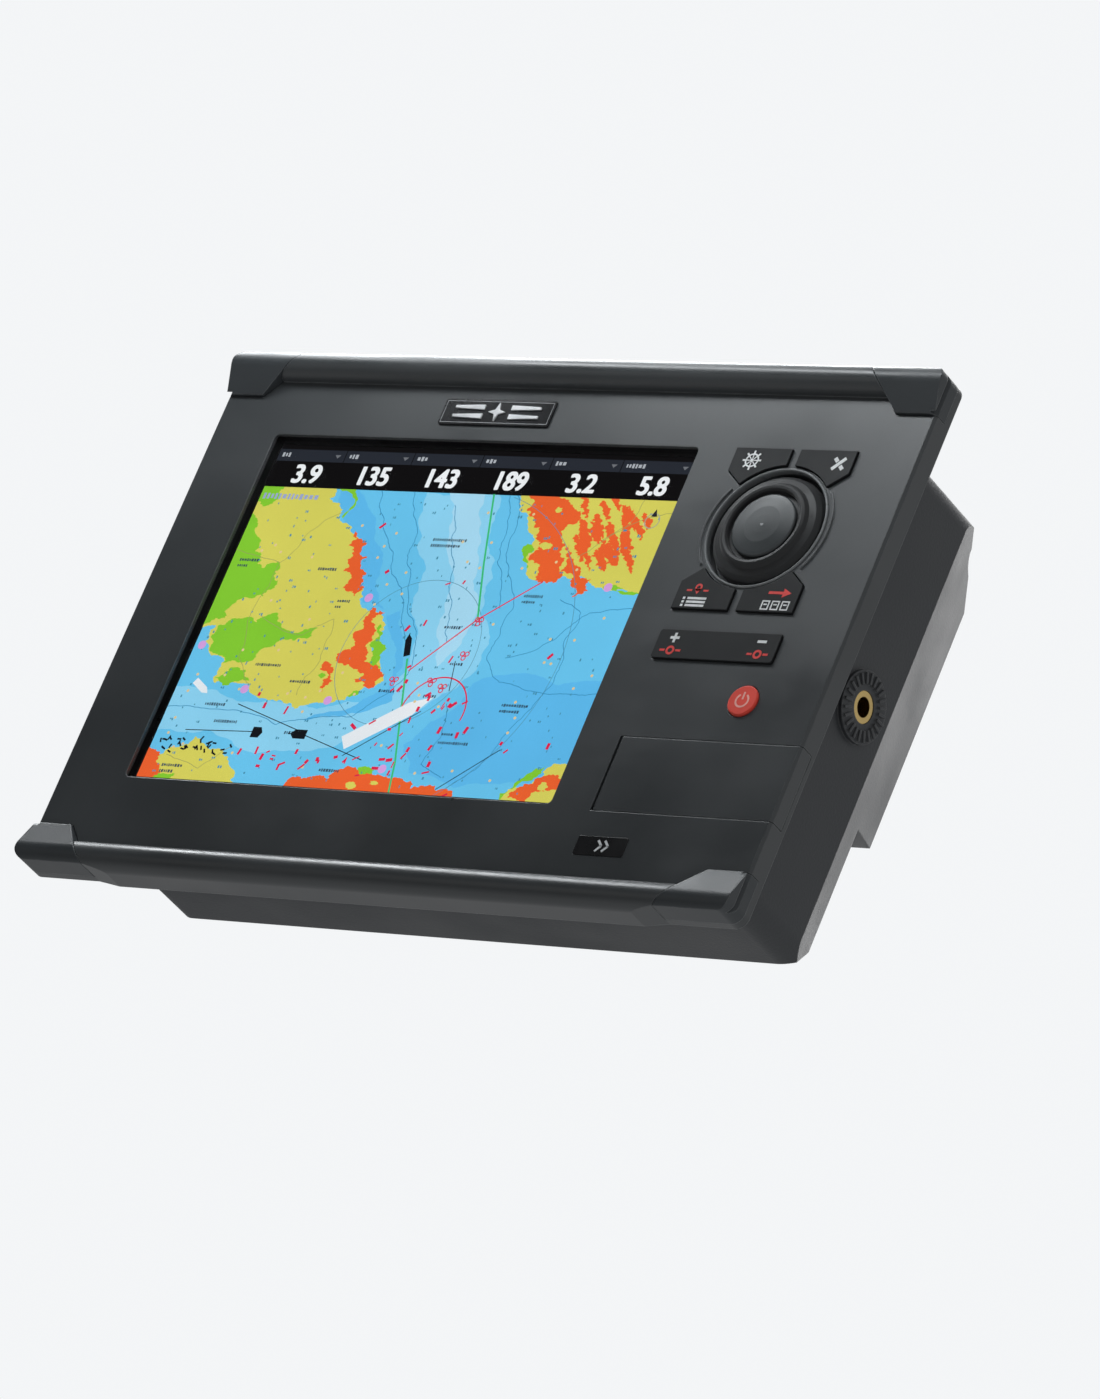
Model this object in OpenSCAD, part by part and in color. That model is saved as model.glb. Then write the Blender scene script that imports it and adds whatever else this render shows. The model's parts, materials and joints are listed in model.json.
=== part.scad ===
// Panel-mounted marine chartplotter with a 6.4 inch screen, a rotary knob, keys, a card door and a
// die-cast rear case. Millimetres. X runs to the right of someone facing the screen, Y runs away from
// them into the panel, and Z runs up. The origin is the middle of the four panel screw holes, in the
// plane where the bezel's back meets the panel, so the bezel is at negative Y and the case at positive Y.

/* [Bezel] */
// Width of the bezel
bezel_w = 220; // [218:0.5:224]
// Height of the bezel at its corner clips
bezel_h = 150; // [150:0.5:152]
// How far the middle of the top and bottom edges stands past the corner clips
edge_bulge = 1; // [0.5:0.1:1.5]
// Thickness of the bezel from its back to its flat face
bezel_t = 6; // [6:0.1:6.5]
// Radius of the rolled ridges along the top and bottom
ridge_r = 4; // [3.5:0.1:4.2]
// Radius of the bezel's corners
bezel_corner_r = 3; // [2:0.5:4]

/* [Screen] */
// Width of the lit area of the 6.4 inch screen
lcd_w = 130.6; // [130:0.2:131]
// Height of the lit area of the screen
lcd_h = 98; // [97.6:0.2:98.4]
// Border between the lit area and the window's edge
window_border = 1.4; // [1:0.1:2]

/* [Controls] */
// Radius of the well that the rotary knob turns in
well_r = 16.2; // [16:0.1:16.3]
// How far each key travels when it is pressed
key_travel = 0.6; // [0.4:0.1:0.7]
// Radius of the power key
power_r = 4.15; // [3.8:0.05:4.4]

/* [Rear case] */
// Width of the rear case, which passes through the panel
case_w = 193; // [192:0.5:193]
// Height of the rear case
case_h = 126; // [125:0.5:126]
// Depth of the rear case behind the panel's face, without its fins
case_d = 62; // [60:1:66]
// Height of the cooling fins on the back
fin_h = 4.5; // [3:0.5:6]

/* [Mounting] */
// Distance between the panel screw holes across the bezel
hole_span_x = 204; // [203:0.5:205]
// Distance between the panel screw holes up the bezel
hole_span_z = 138; // [138:0.5:139]
// Radius of each panel screw hole
hole_r = 2.25; // [2:0.05:2.5]
// Radius of the tapped holes for the bracket knobs
bracket_r = 2.5; // [2.1:0.1:3]

/* [Hidden] */
$fn = 64;

half_w = bezel_w / 2;
half_h = bezel_h / 2;
face_y = -bezel_t;          // the flat front face
wall_back_y = face_y + 3;   // back of the 3 mm front wall
gap = 0.2;                  // clearance round every key and the card door
slack = 0.02;               // clearance of a fixed round fit
touch_gap = 0.05;           // running clearance of a round fit

ridge_z = half_h + edge_bulge - ridge_r;  // height of the ridge's axis
bulge_end_x = half_w - 22;                // where the bulge has come down to the clips
bulge_full_x = half_w - 29;               // where the bulge has its full height

clip_inner_x = half_w - 11.7;  // inner corner of a corner clip's footprint
clip_inner_z = half_h - 11.6;
clip_seat_y = -2.2;            // the thin corner of the bezel that a clip covers
clip_step = 0.8;               // how far a clip's inner edge stands off the face
clip_peg_r = 1.2;
clip_pegs = [[half_w - 3.2, half_h - 9.2], [half_w - 15.5, half_h - 3]];
screw_head_r = 4.6;            // room for the panel screw's head inside a clip

screen_x = -half_w + 87.7;  // middle of the screen
screen_z = half_h - 73;
window_w = lcd_w + 2 * window_border;
window_h = lcd_h + 2 * window_border;
lip_y = face_y + 0.8;       // back of the thin lip round the window
glass_y = lip_y + 0.3;      // front of the cover glass
glass_t = 1.8;
glass_edge = 3;             // how far the glass runs under the lip
lcd_y = glass_y + glass_t + 0.1;
lcd_t = 1.6;
backlight_t = 6;
tray_wall = 1;
module_w = lcd_w + 5.4;
module_h = lcd_h + 5.6;
tray_back_y = lcd_y + lcd_t + backlight_t + tray_wall;

knob_x = half_w - 36;  // axis of the rotary knob
knob_z = half_h - 44.8;
ring_w = 0.75;         // width of the trim ring round the well
well_floor_y = -2.2;
key_arc_r = well_r + ring_w + 0.65;  // the keys' edges that follow the knob
key_reach = 17.9;      // from the knob's axis to the keys' outer ends
key_rise = [22.1, 23.4];  // from the axis to the top pair's and bottom pair's far edges
key_split = 1.3;       // half the web between two keys
key_proud = 0.6;
key_flange_y = wall_back_y + 0.1;
key_post_end = 2.8;
mat_y = key_post_end + key_travel + 0.1;  // front of the key mat, with its domes collapsed
board_y = mat_y + 1;
shaft_r = 3;
bushing_r = 3.5;
knob_skirt_r = well_r - 0.8;
knob_rim_r = 11;
cap_r = 8.8;

zoom_z = knob_z - 33.4;  // middle of the zoom key
zoom_w = 35.8;
zoom_h = 7.9;
zoom_pivot_y = -2.6;
zoom_pin_r = 1;
power_x = knob_x + 14;
power_z = knob_z - 47.8;

door_top_z = half_h - 103.9;
door_low_z = half_h - 124.2;
door_left_x = half_w - 53.2;
door_t = 2;
hinge_r = door_t / 2;
hinge_x = door_left_x + hinge_r;
hinge_y = face_y + hinge_r;
pin_r = 0.5;
rebate_y = face_y + door_t + 0.4;  // floor that the door closes over
lip_w = 1.4;                       // the door's lip over the bezel's right edge
lip_end_y = -1.6;
bay = [half_w - 49, half_w - 17, door_low_z + 2.7, door_top_z - 2.6];  // left, right, bottom, top
bay_back_y = 5;
card_w = 24;
card_len = 30;
card_t = 2.1;
card_slack = 0.4;  // how much wider and taller the slot is than the card
card_x = (bay[0] + bay[1]) / 2;
card_z = (bay[2] + bay[3]) / 2;
card_front_y = 3;

badge_w = 34.7;
badge_h = 7.5;
badge_x = screen_x + 0.8;
badge_z = half_h - 14.6;
corner_badge_at = [half_w - 45.8, half_h - 133.9];
corner_badge_size = [14.8, 5.2];

half_cw = case_w / 2;
half_ch = case_h / 2;
case_r = 6;
case_t = 3;
skirt_t = 2.5;
split_y = 8;          // where the bezel's skirt meets the rear case
step_y = 46;          // the lower back wall, which carries the connectors
step_z = -17;         // bottom of the upper back wall
step_run = 4;         // height of the slope down to the lower back wall
boss_y = 30;          // where the case screws' heads seat
screw_xs = [-88, 0, 88];
screw_z = half_ch - 4.5;
screw_r = 1.25;
boss_r = 2.8;
well_tube_r = 4.4;
head_r = 2.9;
seal_w = 1.2;
fin_xs = [for (i = [0:13]) -76 + i * 7.8];
fin_t = 2.2;
fin_low_z = step_z + 8;
fin_top_z = half_ch - 19;

pcb_y = 28;
pcb_t = 1.6;
pcb_size = [168, 96];
pcb_notch = [60, -34];  // corner of the board cut away round the card reader
standoffs = [for (x = [-78, 34], z = [-36, 40]) [x, z]];
tray_ears = [for (x = [-60, 22], z = [-1, 1]) [x, z]];

connector_z = -38;
connector_end_y = step_y + 16;
plate_t = 2.5;
// x, shell radius, number of contacts, in the order power, data bus, network, video, sonar
connectors = [[-56, 8.5, 4], [-28, 6, 5], [0, 7.5, 5], [28, 8.5, 8], [56, 8.5, 7]];
shell_t = 1.2;
cap_wall = 1.4;

bracket_y = 24;
bracket_boss_r = 9;
bracket_len = 9;
teeth = 24;

// A 2D shape in (x, z), extruded from y0 to y1.
module along_y(y0, y1) {
    translate([0, y1, 0]) rotate([90, 0, 0]) linear_extrude(height = y1 - y0) children();
}

// A 2D shape in (y, z), extruded from x0 to x1.
module along_x(x0, x1) {
    translate([x0, 0, 0]) rotate([90, 0, 90]) linear_extrude(height = x1 - x0) children();
}

// A 2D shape in (x, y), extruded from z0 to z1.
module along_z(z0, z1) {
    translate([0, 0, z0]) linear_extrude(height = z1 - z0) children();
}

// A profile of [radius, distance in front of the panel plane], turned about a Y axis through (x, z).
module turned(x, z, profile) {
    translate([x, 0, z]) rotate([90, 0, 0]) rotate_extrude() polygon(profile);
}

module rod_y(x, z, r, y0, y1) {
    translate([x, y1, z]) rotate([90, 0, 0]) cylinder(r = r, h = y1 - y0);
}

module rounded(w, h, r) {
    union() {
        square([w - 2 * r, h], center = true);
        square([w, h - 2 * r], center = true);
        for (sx = [-1, 1], sz = [-1, 1])
            translate([sx * (w / 2 - r), sz * (h / 2 - r)]) circle(r = r);
    }
}

module ring_2d(w, h, r, t) {
    difference() {
        rounded(w, h, r);
        rounded(w - 2 * t, h - 2 * t, r > t ? r - t : 0.1);
    }
}

// Bezel

module bezel_outline() {
    union() {
        rounded(bezel_w, bezel_h, bezel_corner_r);
        polygon([for (s = [1, -1], p = [[-bulge_end_x, 0], [-bulge_full_x, edge_bulge],
            [bulge_full_x, edge_bulge], [bulge_end_x, 0]]) [s * p[0], s * (half_h + p[1])]]);
    }
}

// The rolled ridge's section in (y, z), at the top.
module ridge_section() {
    translate([face_y, ridge_z]) circle(r = ridge_r);
}

// A corner clip's footprint in (x, z), for the top right corner.
module clip_footprint(grow) {
    polygon([
        [bulge_end_x - grow, half_h + 2],
        [bulge_end_x - grow, half_h],
        [clip_inner_x - grow, clip_inner_z - grow],
        [half_w + 2, clip_inner_z - grow],
        [half_w + 2, half_h + 2],
    ]);
}

// A key's outline about the knob's axis. side is -1 for the left key, and level is 1 for the top pair.
module key_outline(side, level, grow) {
    far = (level > 0 ? key_rise[0] : key_rise[1]) + grow;
    mirror([side < 0 ? 1 : 0, 0]) mirror([0, level < 0 ? 1 : 0]) difference() {
        polygon([
            [key_reach + grow, far],
            [key_split - grow, far],
            [key_split - grow, 12 - grow],
            [13 + grow, 12 - grow],
            [key_reach + grow, 15.8 - grow],
        ]);
        circle(r = key_arc_r - grow);
    }
}

module zoom_outline(grow) {
    rounded(zoom_w + 2 * grow, zoom_h + 2 * grow, 0.8 + grow);
}

// The raised lines to the left and right of the knob.
module knob_arcs() {
    intersection() {
        difference() {
            circle(r = key_arc_r + 0.95);
            circle(r = key_arc_r + 0.35);
        }
        for (s = [-1, 1]) polygon([[0, 0], [s * 26, 19], [s * 26, -19]]);
    }
}

module bezel_openings() {
    translate([screen_x, 0, screen_z]) {
        along_y(face_y - 1, wall_back_y + 1) rounded(window_w, window_h, 1.5);
        along_y(lip_y, wall_back_y + 1) rounded(window_w + 2 * glass_edge, window_h + 2 * glass_edge, 2);
    }
    translate([knob_x, 0, knob_z]) {
        for (side = [-1, 1], level = [-1, 1])
            along_y(face_y - 1, wall_back_y + 1) key_outline(side, level, gap);
    }
    translate([knob_x, 0, zoom_z]) along_y(face_y - 1, wall_back_y + 1) zoom_outline(gap);
    rod_y(power_x, power_z, power_r + gap, face_y - 1, wall_back_y + 1);
    rod_y(knob_x, knob_z, well_r, face_y - 1, well_floor_y);
    rod_y(knob_x, knob_z, well_r + ring_w + slack, face_y - 1, face_y + 1.2);
    rod_y(knob_x, knob_z, bushing_r + slack, -4, 1);
    translate([badge_x, 0, badge_z]) along_y(face_y - 1, face_y + 0.6) rounded(badge_w, badge_h, 0.6);
    translate([corner_badge_at[0], 0, corner_badge_at[1]])
        along_y(face_y - 1, face_y + 0.5) rounded(corner_badge_size[0], corner_badge_size[1], 0.5);
}

// The shallow rebate that the card door closes into, and the bay behind it.
module door_rebate() {
    translate([door_left_x - gap, face_y - 1, door_low_z - gap])
        cube([half_w, rebate_y - face_y + 1, door_top_z - door_low_z + 2 * gap]);
    translate([half_w - lip_w - gap, face_y - 1, door_low_z - gap])
        cube([5, lip_end_y + gap - face_y + 1, door_top_z - door_low_z + 2 * gap]);
    translate([bay[0], rebate_y - 1, bay[2]])
        cube([bay[1] - bay[0], bay_back_y - rebate_y + 1, bay[3] - bay[2]]);
    translate([hinge_x, hinge_y, door_low_z - 2.5])
        cylinder(r = pin_r + slack, h = door_top_z - door_low_z + 5);
    translate([card_x, 0, card_z]) along_y(0, bay_back_y + 5)
        square([card_w + card_slack, card_t + card_slack], center = true);
}

// The bay's walls, and the thicker patch of front wall behind the door.
module bay_box() {
    wall = 1.5;
    translate([bay[0] - wall, rebate_y, bay[2] - wall])
        cube([bay[1] - bay[0] + 2 * wall, bay_back_y + wall - rebate_y, bay[3] - bay[2] + 2 * wall]);
    translate([door_left_x - 3, rebate_y, door_low_z - 2.5])
        cube([half_cw - door_left_x, 2.1, door_top_z - door_low_z + 5]);
}

module edge_chamfers() {
    chamfer = 0.7;
    for (s = [-1, 1])
        along_z(-half_h - 1, half_h + 1)
            polygon([[s * (half_w + 1), face_y - 1], [s * (half_w + 1), face_y + chamfer + 1],
                [s * (half_w - chamfer - 1), face_y - 1]]);
}

module front_bezel() {
    color("#2b2d2e") difference() {
        union() {
            intersection() {
                along_y(face_y - ridge_r - 1, 0) bezel_outline();
                union() {
                    translate([-half_w - 1, face_y, -half_h - 3]) cube([bezel_w + 2, bezel_t, bezel_h + 6]);
                    for (s = [0, 1]) mirror([0, 0, s]) along_x(-half_w - 1, half_w + 1) ridge_section();
                }
            }
            along_y(-1, split_y) rounded(case_w, case_h, case_r);
            translate([knob_x, 0, knob_z]) along_y(face_y - 0.35, face_y + 0.5) knob_arcs();
        }
        difference() {
            along_y(wall_back_y, split_y + 1)
                rounded(case_w - 2 * skirt_t, case_h - 2 * skirt_t, case_r - skirt_t);
            rod_y(knob_x, knob_z, well_r + ring_w, wall_back_y - 1, well_floor_y + 1.4);
            bay_box();
            for (x = screw_xs, s = [-1, 1]) rod_y(x, s * screw_z, boss_r, wall_back_y - 1, split_y + 2);
            for (e = tray_ears) rod_y(e[0], ear_z(e[1]), 2.6, wall_back_y - 1, tray_back_y - tray_wall);
        }
        bezel_openings();
        door_rebate();
        edge_chamfers();
        for (sx = [0, 1], sz = [0, 1]) mirror([sx, 0, 0]) mirror([0, 0, sz]) {
            along_y(face_y - ridge_r - 2, clip_seat_y) clip_footprint(0.15);
            rod_y(hole_span_x / 2, hole_span_z / 2, hole_r, -3, 1);
            for (p = clip_pegs) rod_y(p[0], p[1], clip_peg_r + 0.1, -3, -1);
        }
        for (x = screw_xs, s = [-1, 1]) rod_y(x, s * screw_z, screw_r + slack, -1, split_y + 1);
        for (e = tray_ears) rod_y(e[0], ear_z(e[1]), screw_r + slack, -1, split_y + 1);
        along_y(-1, 1) difference() {
            rounded(bezel_w - 6, bezel_h - 6, 3);
            rounded(case_w, case_h, case_r);
        }
        door_seal_shape(rebate_y - 0.2);
    }
}

// Height of a tray ear's screw, above or below the screen.
function ear_z(side) = screen_z + side * (module_h / 2 + tray_wall + 2.9);

// One corner clip, at the top right: a ramp up to the ridge, hollow over the panel screw's head.
module corner_clip(flip_x, flip_z) {
    ramp = [face_y - clip_step, clip_inner_z];
    reach = norm([ramp[0] - face_y, ramp[1] - ridge_z]);
    turn = acos(ridge_r / reach) + atan2(face_y - ramp[0], ridge_z - ramp[1]);
    crest = [face_y - ridge_r * sin(turn), ridge_z - ridge_r * cos(turn)];
    color("#26282a") mirror([flip_x, 0, 0]) mirror([0, 0, flip_z]) difference() {
        union() {
            intersection() {
                along_y(face_y - ridge_r - 1, clip_seat_y) bezel_outline();
                along_y(face_y - ridge_r - 1, clip_seat_y) clip_footprint(0);
                along_x(bulge_end_x - 5, half_w + 1) union() {
                    ridge_section();
                    polygon([[clip_seat_y, clip_inner_z - 1], [ramp[0] + 0.1, clip_inner_z - 1], ramp, crest,
                        [face_y, ridge_z], [face_y, half_h + 2], [clip_seat_y, half_h + 2]]);
                }
            }
            for (p = clip_pegs) rod_y(p[0], p[1], clip_peg_r, clip_seat_y - 0.5, clip_seat_y + 1);
        }
        rod_y(hole_span_x / 2, hole_span_z / 2, screw_head_r, face_y + 0.6, clip_seat_y + 1);
        edge_chamfers();
    }
}

module panel_gasket() {
    color("#1a1a1a") difference() {
        along_y(-1, 0) difference() {
            rounded(bezel_w - 6, bezel_h - 6, 3);
            rounded(case_w, case_h, case_r);
        }
        for (sx = [-1, 1], sz = [-1, 1])
            rod_y(sx * hole_span_x / 2, sz * hole_span_z / 2, hole_r, -3, 1);
    }
}

// Screen

module glass_gasket() {
    color("#101010") translate([screen_x, 0, screen_z]) along_y(lip_y, glass_y)
        ring_2d(window_w + 2 * glass_edge, window_h + 2 * glass_edge, 2, glass_edge);
}

module cover_glass() {
    color("#20262a", 0.4) translate([screen_x, 0, screen_z]) along_y(glass_y, glass_y + glass_t)
        rounded(window_w + 2 * glass_edge - 0.2, window_h + 2 * glass_edge - 0.2, 1.9);
}

module lcd_panel() {
    color("#3aa0d8") translate([screen_x, 0, screen_z]) along_y(lcd_y, lcd_y + lcd_t)
        square([module_w - 0.2, module_h - 0.2], center = true);
}

module backlight() {
    color("#e8e8e4") translate([screen_x, 0, screen_z]) along_y(lcd_y + lcd_t, lcd_y + lcd_t + backlight_t)
        square([module_w - 0.2, module_h - 0.2], center = true);
}

module lcd_tray() {
    color("silver") difference() {
        union() {
            translate([screen_x, 0, screen_z]) along_y(lcd_y, tray_back_y)
                square([module_w + 2 * tray_wall, module_h + 2 * tray_wall], center = true);
            for (e = tray_ears)
                translate([e[0], 0, ear_z(e[1]) - e[1] * 0.9]) along_y(tray_back_y - tray_wall, tray_back_y)
                    square([9, 7], center = true);
        }
        translate([screen_x, 0, screen_z]) along_y(lcd_y - 1, tray_back_y - tray_wall)
            square([module_w, module_h], center = true);
        for (e = tray_ears) rod_y(e[0], ear_z(e[1]), screw_r + 0.25, tray_back_y - 4, tray_back_y + 1);
    }
}

// Rotary knob

module knob_surround_ring() {
    inner = well_r;
    outer = well_r + ring_w;
    color("#3a3c3e") turned(knob_x, knob_z, [
        [inner, -face_y - 1.2], [outer, -face_y - 1.2], [outer, -face_y + 0.2],
        [outer - 0.25, -face_y + 0.45], [inner + 0.2, -face_y + 0.45], [inner, -face_y + 0.1],
    ]);
}

module knob_core() {
    color("#232425") difference() {
        turned(knob_x, knob_z, [
            [0, 4.2], [12.6, 4.2], [12.6, 5], [9.8, 5], [9.8, 6.6], [0, 6.6],
        ]);
        rod_y(knob_x, knob_z, shaft_r + slack, -5.9, 0);
    }
}

module knob_grip() {
    r = knob_skirt_r;
    color("#161616") turned(knob_x, knob_z, [
        [r - 0.6, 3], [r, 3.3], [r, 4], [r - 0.5, 5.4], [r - 1.6, 6.4], [knob_rim_r + 1.2, 7],
        [knob_rim_r + 0.5, 7.9],
        [knob_rim_r - 0.1, 8.2], [knob_rim_r - 0.8, 8.1], [knob_rim_r - 1.1, 7.6], [knob_rim_r - 1.1, 6.6],
        [9.8 + slack, 6.6], [9.8 + slack, 5 + slack], [12.6 + slack, 5 + slack], [12.6 + slack, 3],
    ]);
}

module knob_cap() {
    color("#4a4e50") turned(knob_x, knob_z, [
        [0, 6.6], [cap_r, 6.6], [cap_r, 7.3], [cap_r - 0.3, 7.6], [cap_r - 1.2, 7.75], [5, 8.05],
        [2.5, 8.15], [0, 8.2],
    ]);
}

module encoder_shaft() {
    color("silver") rod_y(knob_x, knob_z, shaft_r, -5.88, 3);
}

module encoder_plunger() {
    color("white") rod_y(knob_x, knob_z, 2.4, 3, 3.8);
}

module encoder_body() {
    color("#3f6f4a") difference() {
        union() {
            translate([knob_x, 0, knob_z]) along_y(-0.8, board_y - slack) square([13, 13], center = true);
            rod_y(knob_x, knob_z, bushing_r, -3.4, 0);
        }
        rod_y(knob_x, knob_z, shaft_r + touch_gap, -4, board_y - 0.1);
        rod_y(knob_x, knob_z, bushing_r - 0.15, -4, -2.6);
    }
}

module shaft_seal() {
    color("#202020") difference() {
        rod_y(knob_x, knob_z, bushing_r - 0.15, -3.4, -2.6);
        rod_y(knob_x, knob_z, shaft_r + touch_gap, -4, -2);
    }
}

// Keys

// side and level as in key_outline: cap, retaining flange behind the front wall, and post to the key mat.
module arc_key(side, level) {
    rise = level > 0 ? key_rise[0] : key_rise[1];
    flange_low = key_arc_r + 0.2;
    color("#1b1c1d") translate([knob_x, 0, knob_z]) {
        along_y(face_y - key_proud, key_flange_y) key_outline(side, level, 0);
        mirror([side < 0 ? 1 : 0, 0, 0]) mirror([0, 0, level < 0 ? 1 : 0]) {
            translate([key_split - 0.7, key_flange_y, flange_low])
                cube([key_reach - key_split + 1.5, 0.8, rise + 0.8 - flange_low]);
            rod_y(9.5, 20.4, 1.5, key_flange_y, key_post_end);
        }
    }
}

module zoom_key() {
    color("#1b1c1d") translate([knob_x, 0, zoom_z]) difference() {
        union() {
            along_y(face_y - key_proud, face_y + 2) zoom_outline(0);
            translate([-2, face_y, -2.3]) cube([4, -face_y + zoom_pivot_y + 1.8, 4.6]);
            for (s = [-1, 1]) rod_y(s * 13, 0, 1.5, face_y, 2.2);
        }
        translate([0, zoom_pivot_y, -5]) cylinder(r = zoom_pin_r + touch_gap, h = 10);
    }
}

module zoom_key_pin() {
    color("silver") translate([knob_x, zoom_pivot_y, zoom_z - 3.6]) cylinder(r = zoom_pin_r, h = 7.2);
}

module zoom_key_carrier() {
    color("#d8d8d0") translate([knob_x, 0, zoom_z]) difference() {
        translate([-3, -3.8, -3.6]) cube([6, 6.6, 7.2]);
        translate([-5, -5, -2.5]) cube([10, 5.5, 5]);
        translate([0, zoom_pivot_y, -5]) cylinder(r = zoom_pin_r + slack, h = 10);
    }
}

module power_key() {
    color("#e2372b") union() {
        turned(power_x, power_z, [
            [0, -key_flange_y], [power_r, -key_flange_y], [power_r, -face_y + key_proud - 0.3],
            [power_r - 0.3, -face_y + key_proud], [0, -face_y + key_proud],
        ]);
        rod_y(power_x, power_z, power_r + 0.8, key_flange_y, key_flange_y + 0.8);
        rod_y(power_x, power_z, 1.5, key_flange_y, key_post_end);
    }
}

// A sheet behind all the keys, drawn in from the keypad board's edges by inset.
module keypad_sheet(inset) {
    top = knob_z + 25 - inset;
    low = power_z - 6 + inset;
    translate([knob_x, (top + low) / 2]) square([38 - 2 * inset, top - low], center = true);
}

module keymat() {
    color("#8a8f92") difference() {
        along_y(mat_y, board_y) keypad_sheet(0.6);
        translate([knob_x, 0, knob_z]) along_y(mat_y - 1, board_y + 1) square([14, 14], center = true);
    }
}

module keypad_board() {
    color("#2f6b3f") along_y(board_y, board_y + pcb_t) keypad_sheet(0);
}

// Card door and reader

module card_door() {
    height = door_top_z - door_low_z;
    color("#2b2d2e") difference() {
        union() {
            along_z(door_low_z, door_top_z) union() {
                translate([hinge_x, hinge_y]) circle(r = hinge_r);
                translate([hinge_x, face_y]) square([half_w - hinge_x, door_t]);
                translate([half_w - lip_w, face_y]) square([lip_w, lip_end_y - face_y]);
            }
            translate([card_x, 0, card_z]) along_y(face_y + door_t - 0.1, rebate_y + 1)
                ring_2d(bay[1] - bay[0] - 5, bay[3] - bay[2] - 3, 1.5, 1);
        }
        translate([hinge_x, hinge_y, door_low_z - 1]) cylinder(r = pin_r + touch_gap, h = height + 2);
        edge_chamfers();
    }
}

module card_door_pin() {
    color("silver") translate([hinge_x, hinge_y, door_low_z - 2.5 + slack])
        cylinder(r = pin_r, h = door_top_z - door_low_z + 5 - 2 * slack);
}

// The frame that the door seal fills, from y0 back into its groove.
module door_seal_shape(y0) {
    translate([card_x, 0, card_z]) along_y(y0, rebate_y + 0.8)
        ring_2d(bay[1] - bay[0] + 3.4, bay[3] - bay[2] + 3.4, 1.6, 1);
}

module card_door_seal() {
    color("#5a5f63") door_seal_shape(rebate_y - 0.35);
}

module card_reader() {
    front = bay_back_y + 1.5;
    color("#b9bcc0") translate([card_x, 0, card_z]) difference() {
        along_y(front, front + card_len) square([card_w + 4, card_t + 2.4], center = true);
        along_y(front - 1, front + card_len - 1) square([card_w + 0.6, card_t + 0.4], center = true);
    }
}

module chart_card() {
    notch = 2.5;
    color("#1f3a68") translate([card_x, 0, card_z - card_t / 2]) along_z(0, card_t)
        polygon([[-card_w / 2, card_front_y], [card_w / 2, card_front_y],
            [card_w / 2, card_front_y + card_len - notch],
            [card_w / 2 - notch, card_front_y + card_len], [-card_w / 2, card_front_y + card_len]]);
}

// Badges

module badge_plate() {
    color("#1c1d1e") translate([badge_x, 0, badge_z]) along_y(face_y - 0.4, face_y + 0.6)
        rounded(badge_w - 0.1, badge_h - 0.1, 0.55);
}

// A compass star between two pairs of tapered bars.
module badge_emblem() {
    color("#d9dcde") translate([badge_x, 0, badge_z]) along_y(face_y - 0.75, face_y - 0.4) {
        polygon([for (i = [0:7]) let (r = i % 2 == 0 ? 2.7 : 0.9) [r * cos(45 * i), r * sin(45 * i)]]);
        for (s = [-1, 1], z = [-1.3, 1.3])
            polygon([[s * 4.2, z - 0.7], [s * 13.4, z - 0.35], [s * 13.4, z + 0.35], [s * 4.2, z + 0.7]]);
    }
}

module corner_badge() {
    color("#0e0f10") translate([corner_badge_at[0], 0, corner_badge_at[1]])
        along_y(face_y - 0.15, face_y + 0.5)
            rounded(corner_badge_size[0] - 0.1, corner_badge_size[1] - 0.1, 0.45);
}

// Rear case

// The case's side section in (y, z), drawn in by t on every side but the front.
module case_side(t) {
    back = case_d - t;
    slope = t * 0.6;
    polygon([
        [split_y - (t > 0 ? 1 : 0), half_ch - t],
        [40 - slope / 2, half_ch - t],
        [back, half_ch - 13 - slope],
        [back, step_z + slope],
        [step_y - t, step_z - step_run + slope],
        [step_y - t, -half_ch + 8 + slope],
        [step_y - 8 - slope / 2, -half_ch + t],
        [split_y - (t > 0 ? 1 : 0), -half_ch + t],
    ]);
}

// The case's plan in (x, y), drawn in the same way.
module case_plan(t) {
    front = split_y - (t > 0 ? 1 : 0);
    slope = t * 0.6;
    polygon([
        [-half_cw + t, front], [half_cw - t, front], [half_cw - t, 36 - slope / 2],
        [half_cw - 12.5 - slope, case_d - t], [-half_cw + 12.5 + slope, case_d - t],
        [-half_cw + t, 36 - slope / 2],
    ]);
}

module case_block(t) {
    intersection() {
        along_x(-case_w, case_w) case_side(t);
        along_z(-case_h, case_h) case_plan(t);
        along_y(0, case_d + 5) rounded(case_w - 2 * t, case_h - 2 * t, case_r - t);
    }
}

module fins() {
    for (x = fin_xs)
        translate([x, case_d - 1, fin_low_z]) cube([fin_t, fin_h + 1, fin_top_z - fin_low_z]);
}

// The toothed boss that a bracket knob clamps, on the right side.
module bracket_boss() {
    translate([half_cw - case_t, bracket_y, 0]) rotate([0, 90, 0]) {
        cylinder(r = bracket_boss_r, h = case_t + 1.2);
        for (i = [0:teeth - 1]) rotate([0, 0, i * 360 / teeth])
            translate([5.6, -0.35, case_t + 1]) cube([2.8, 0.7, 0.8]);
        translate([0, 0, case_t - bracket_len - 2]) cylinder(r = 6, h = bracket_len + 1);
    }
}

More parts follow.
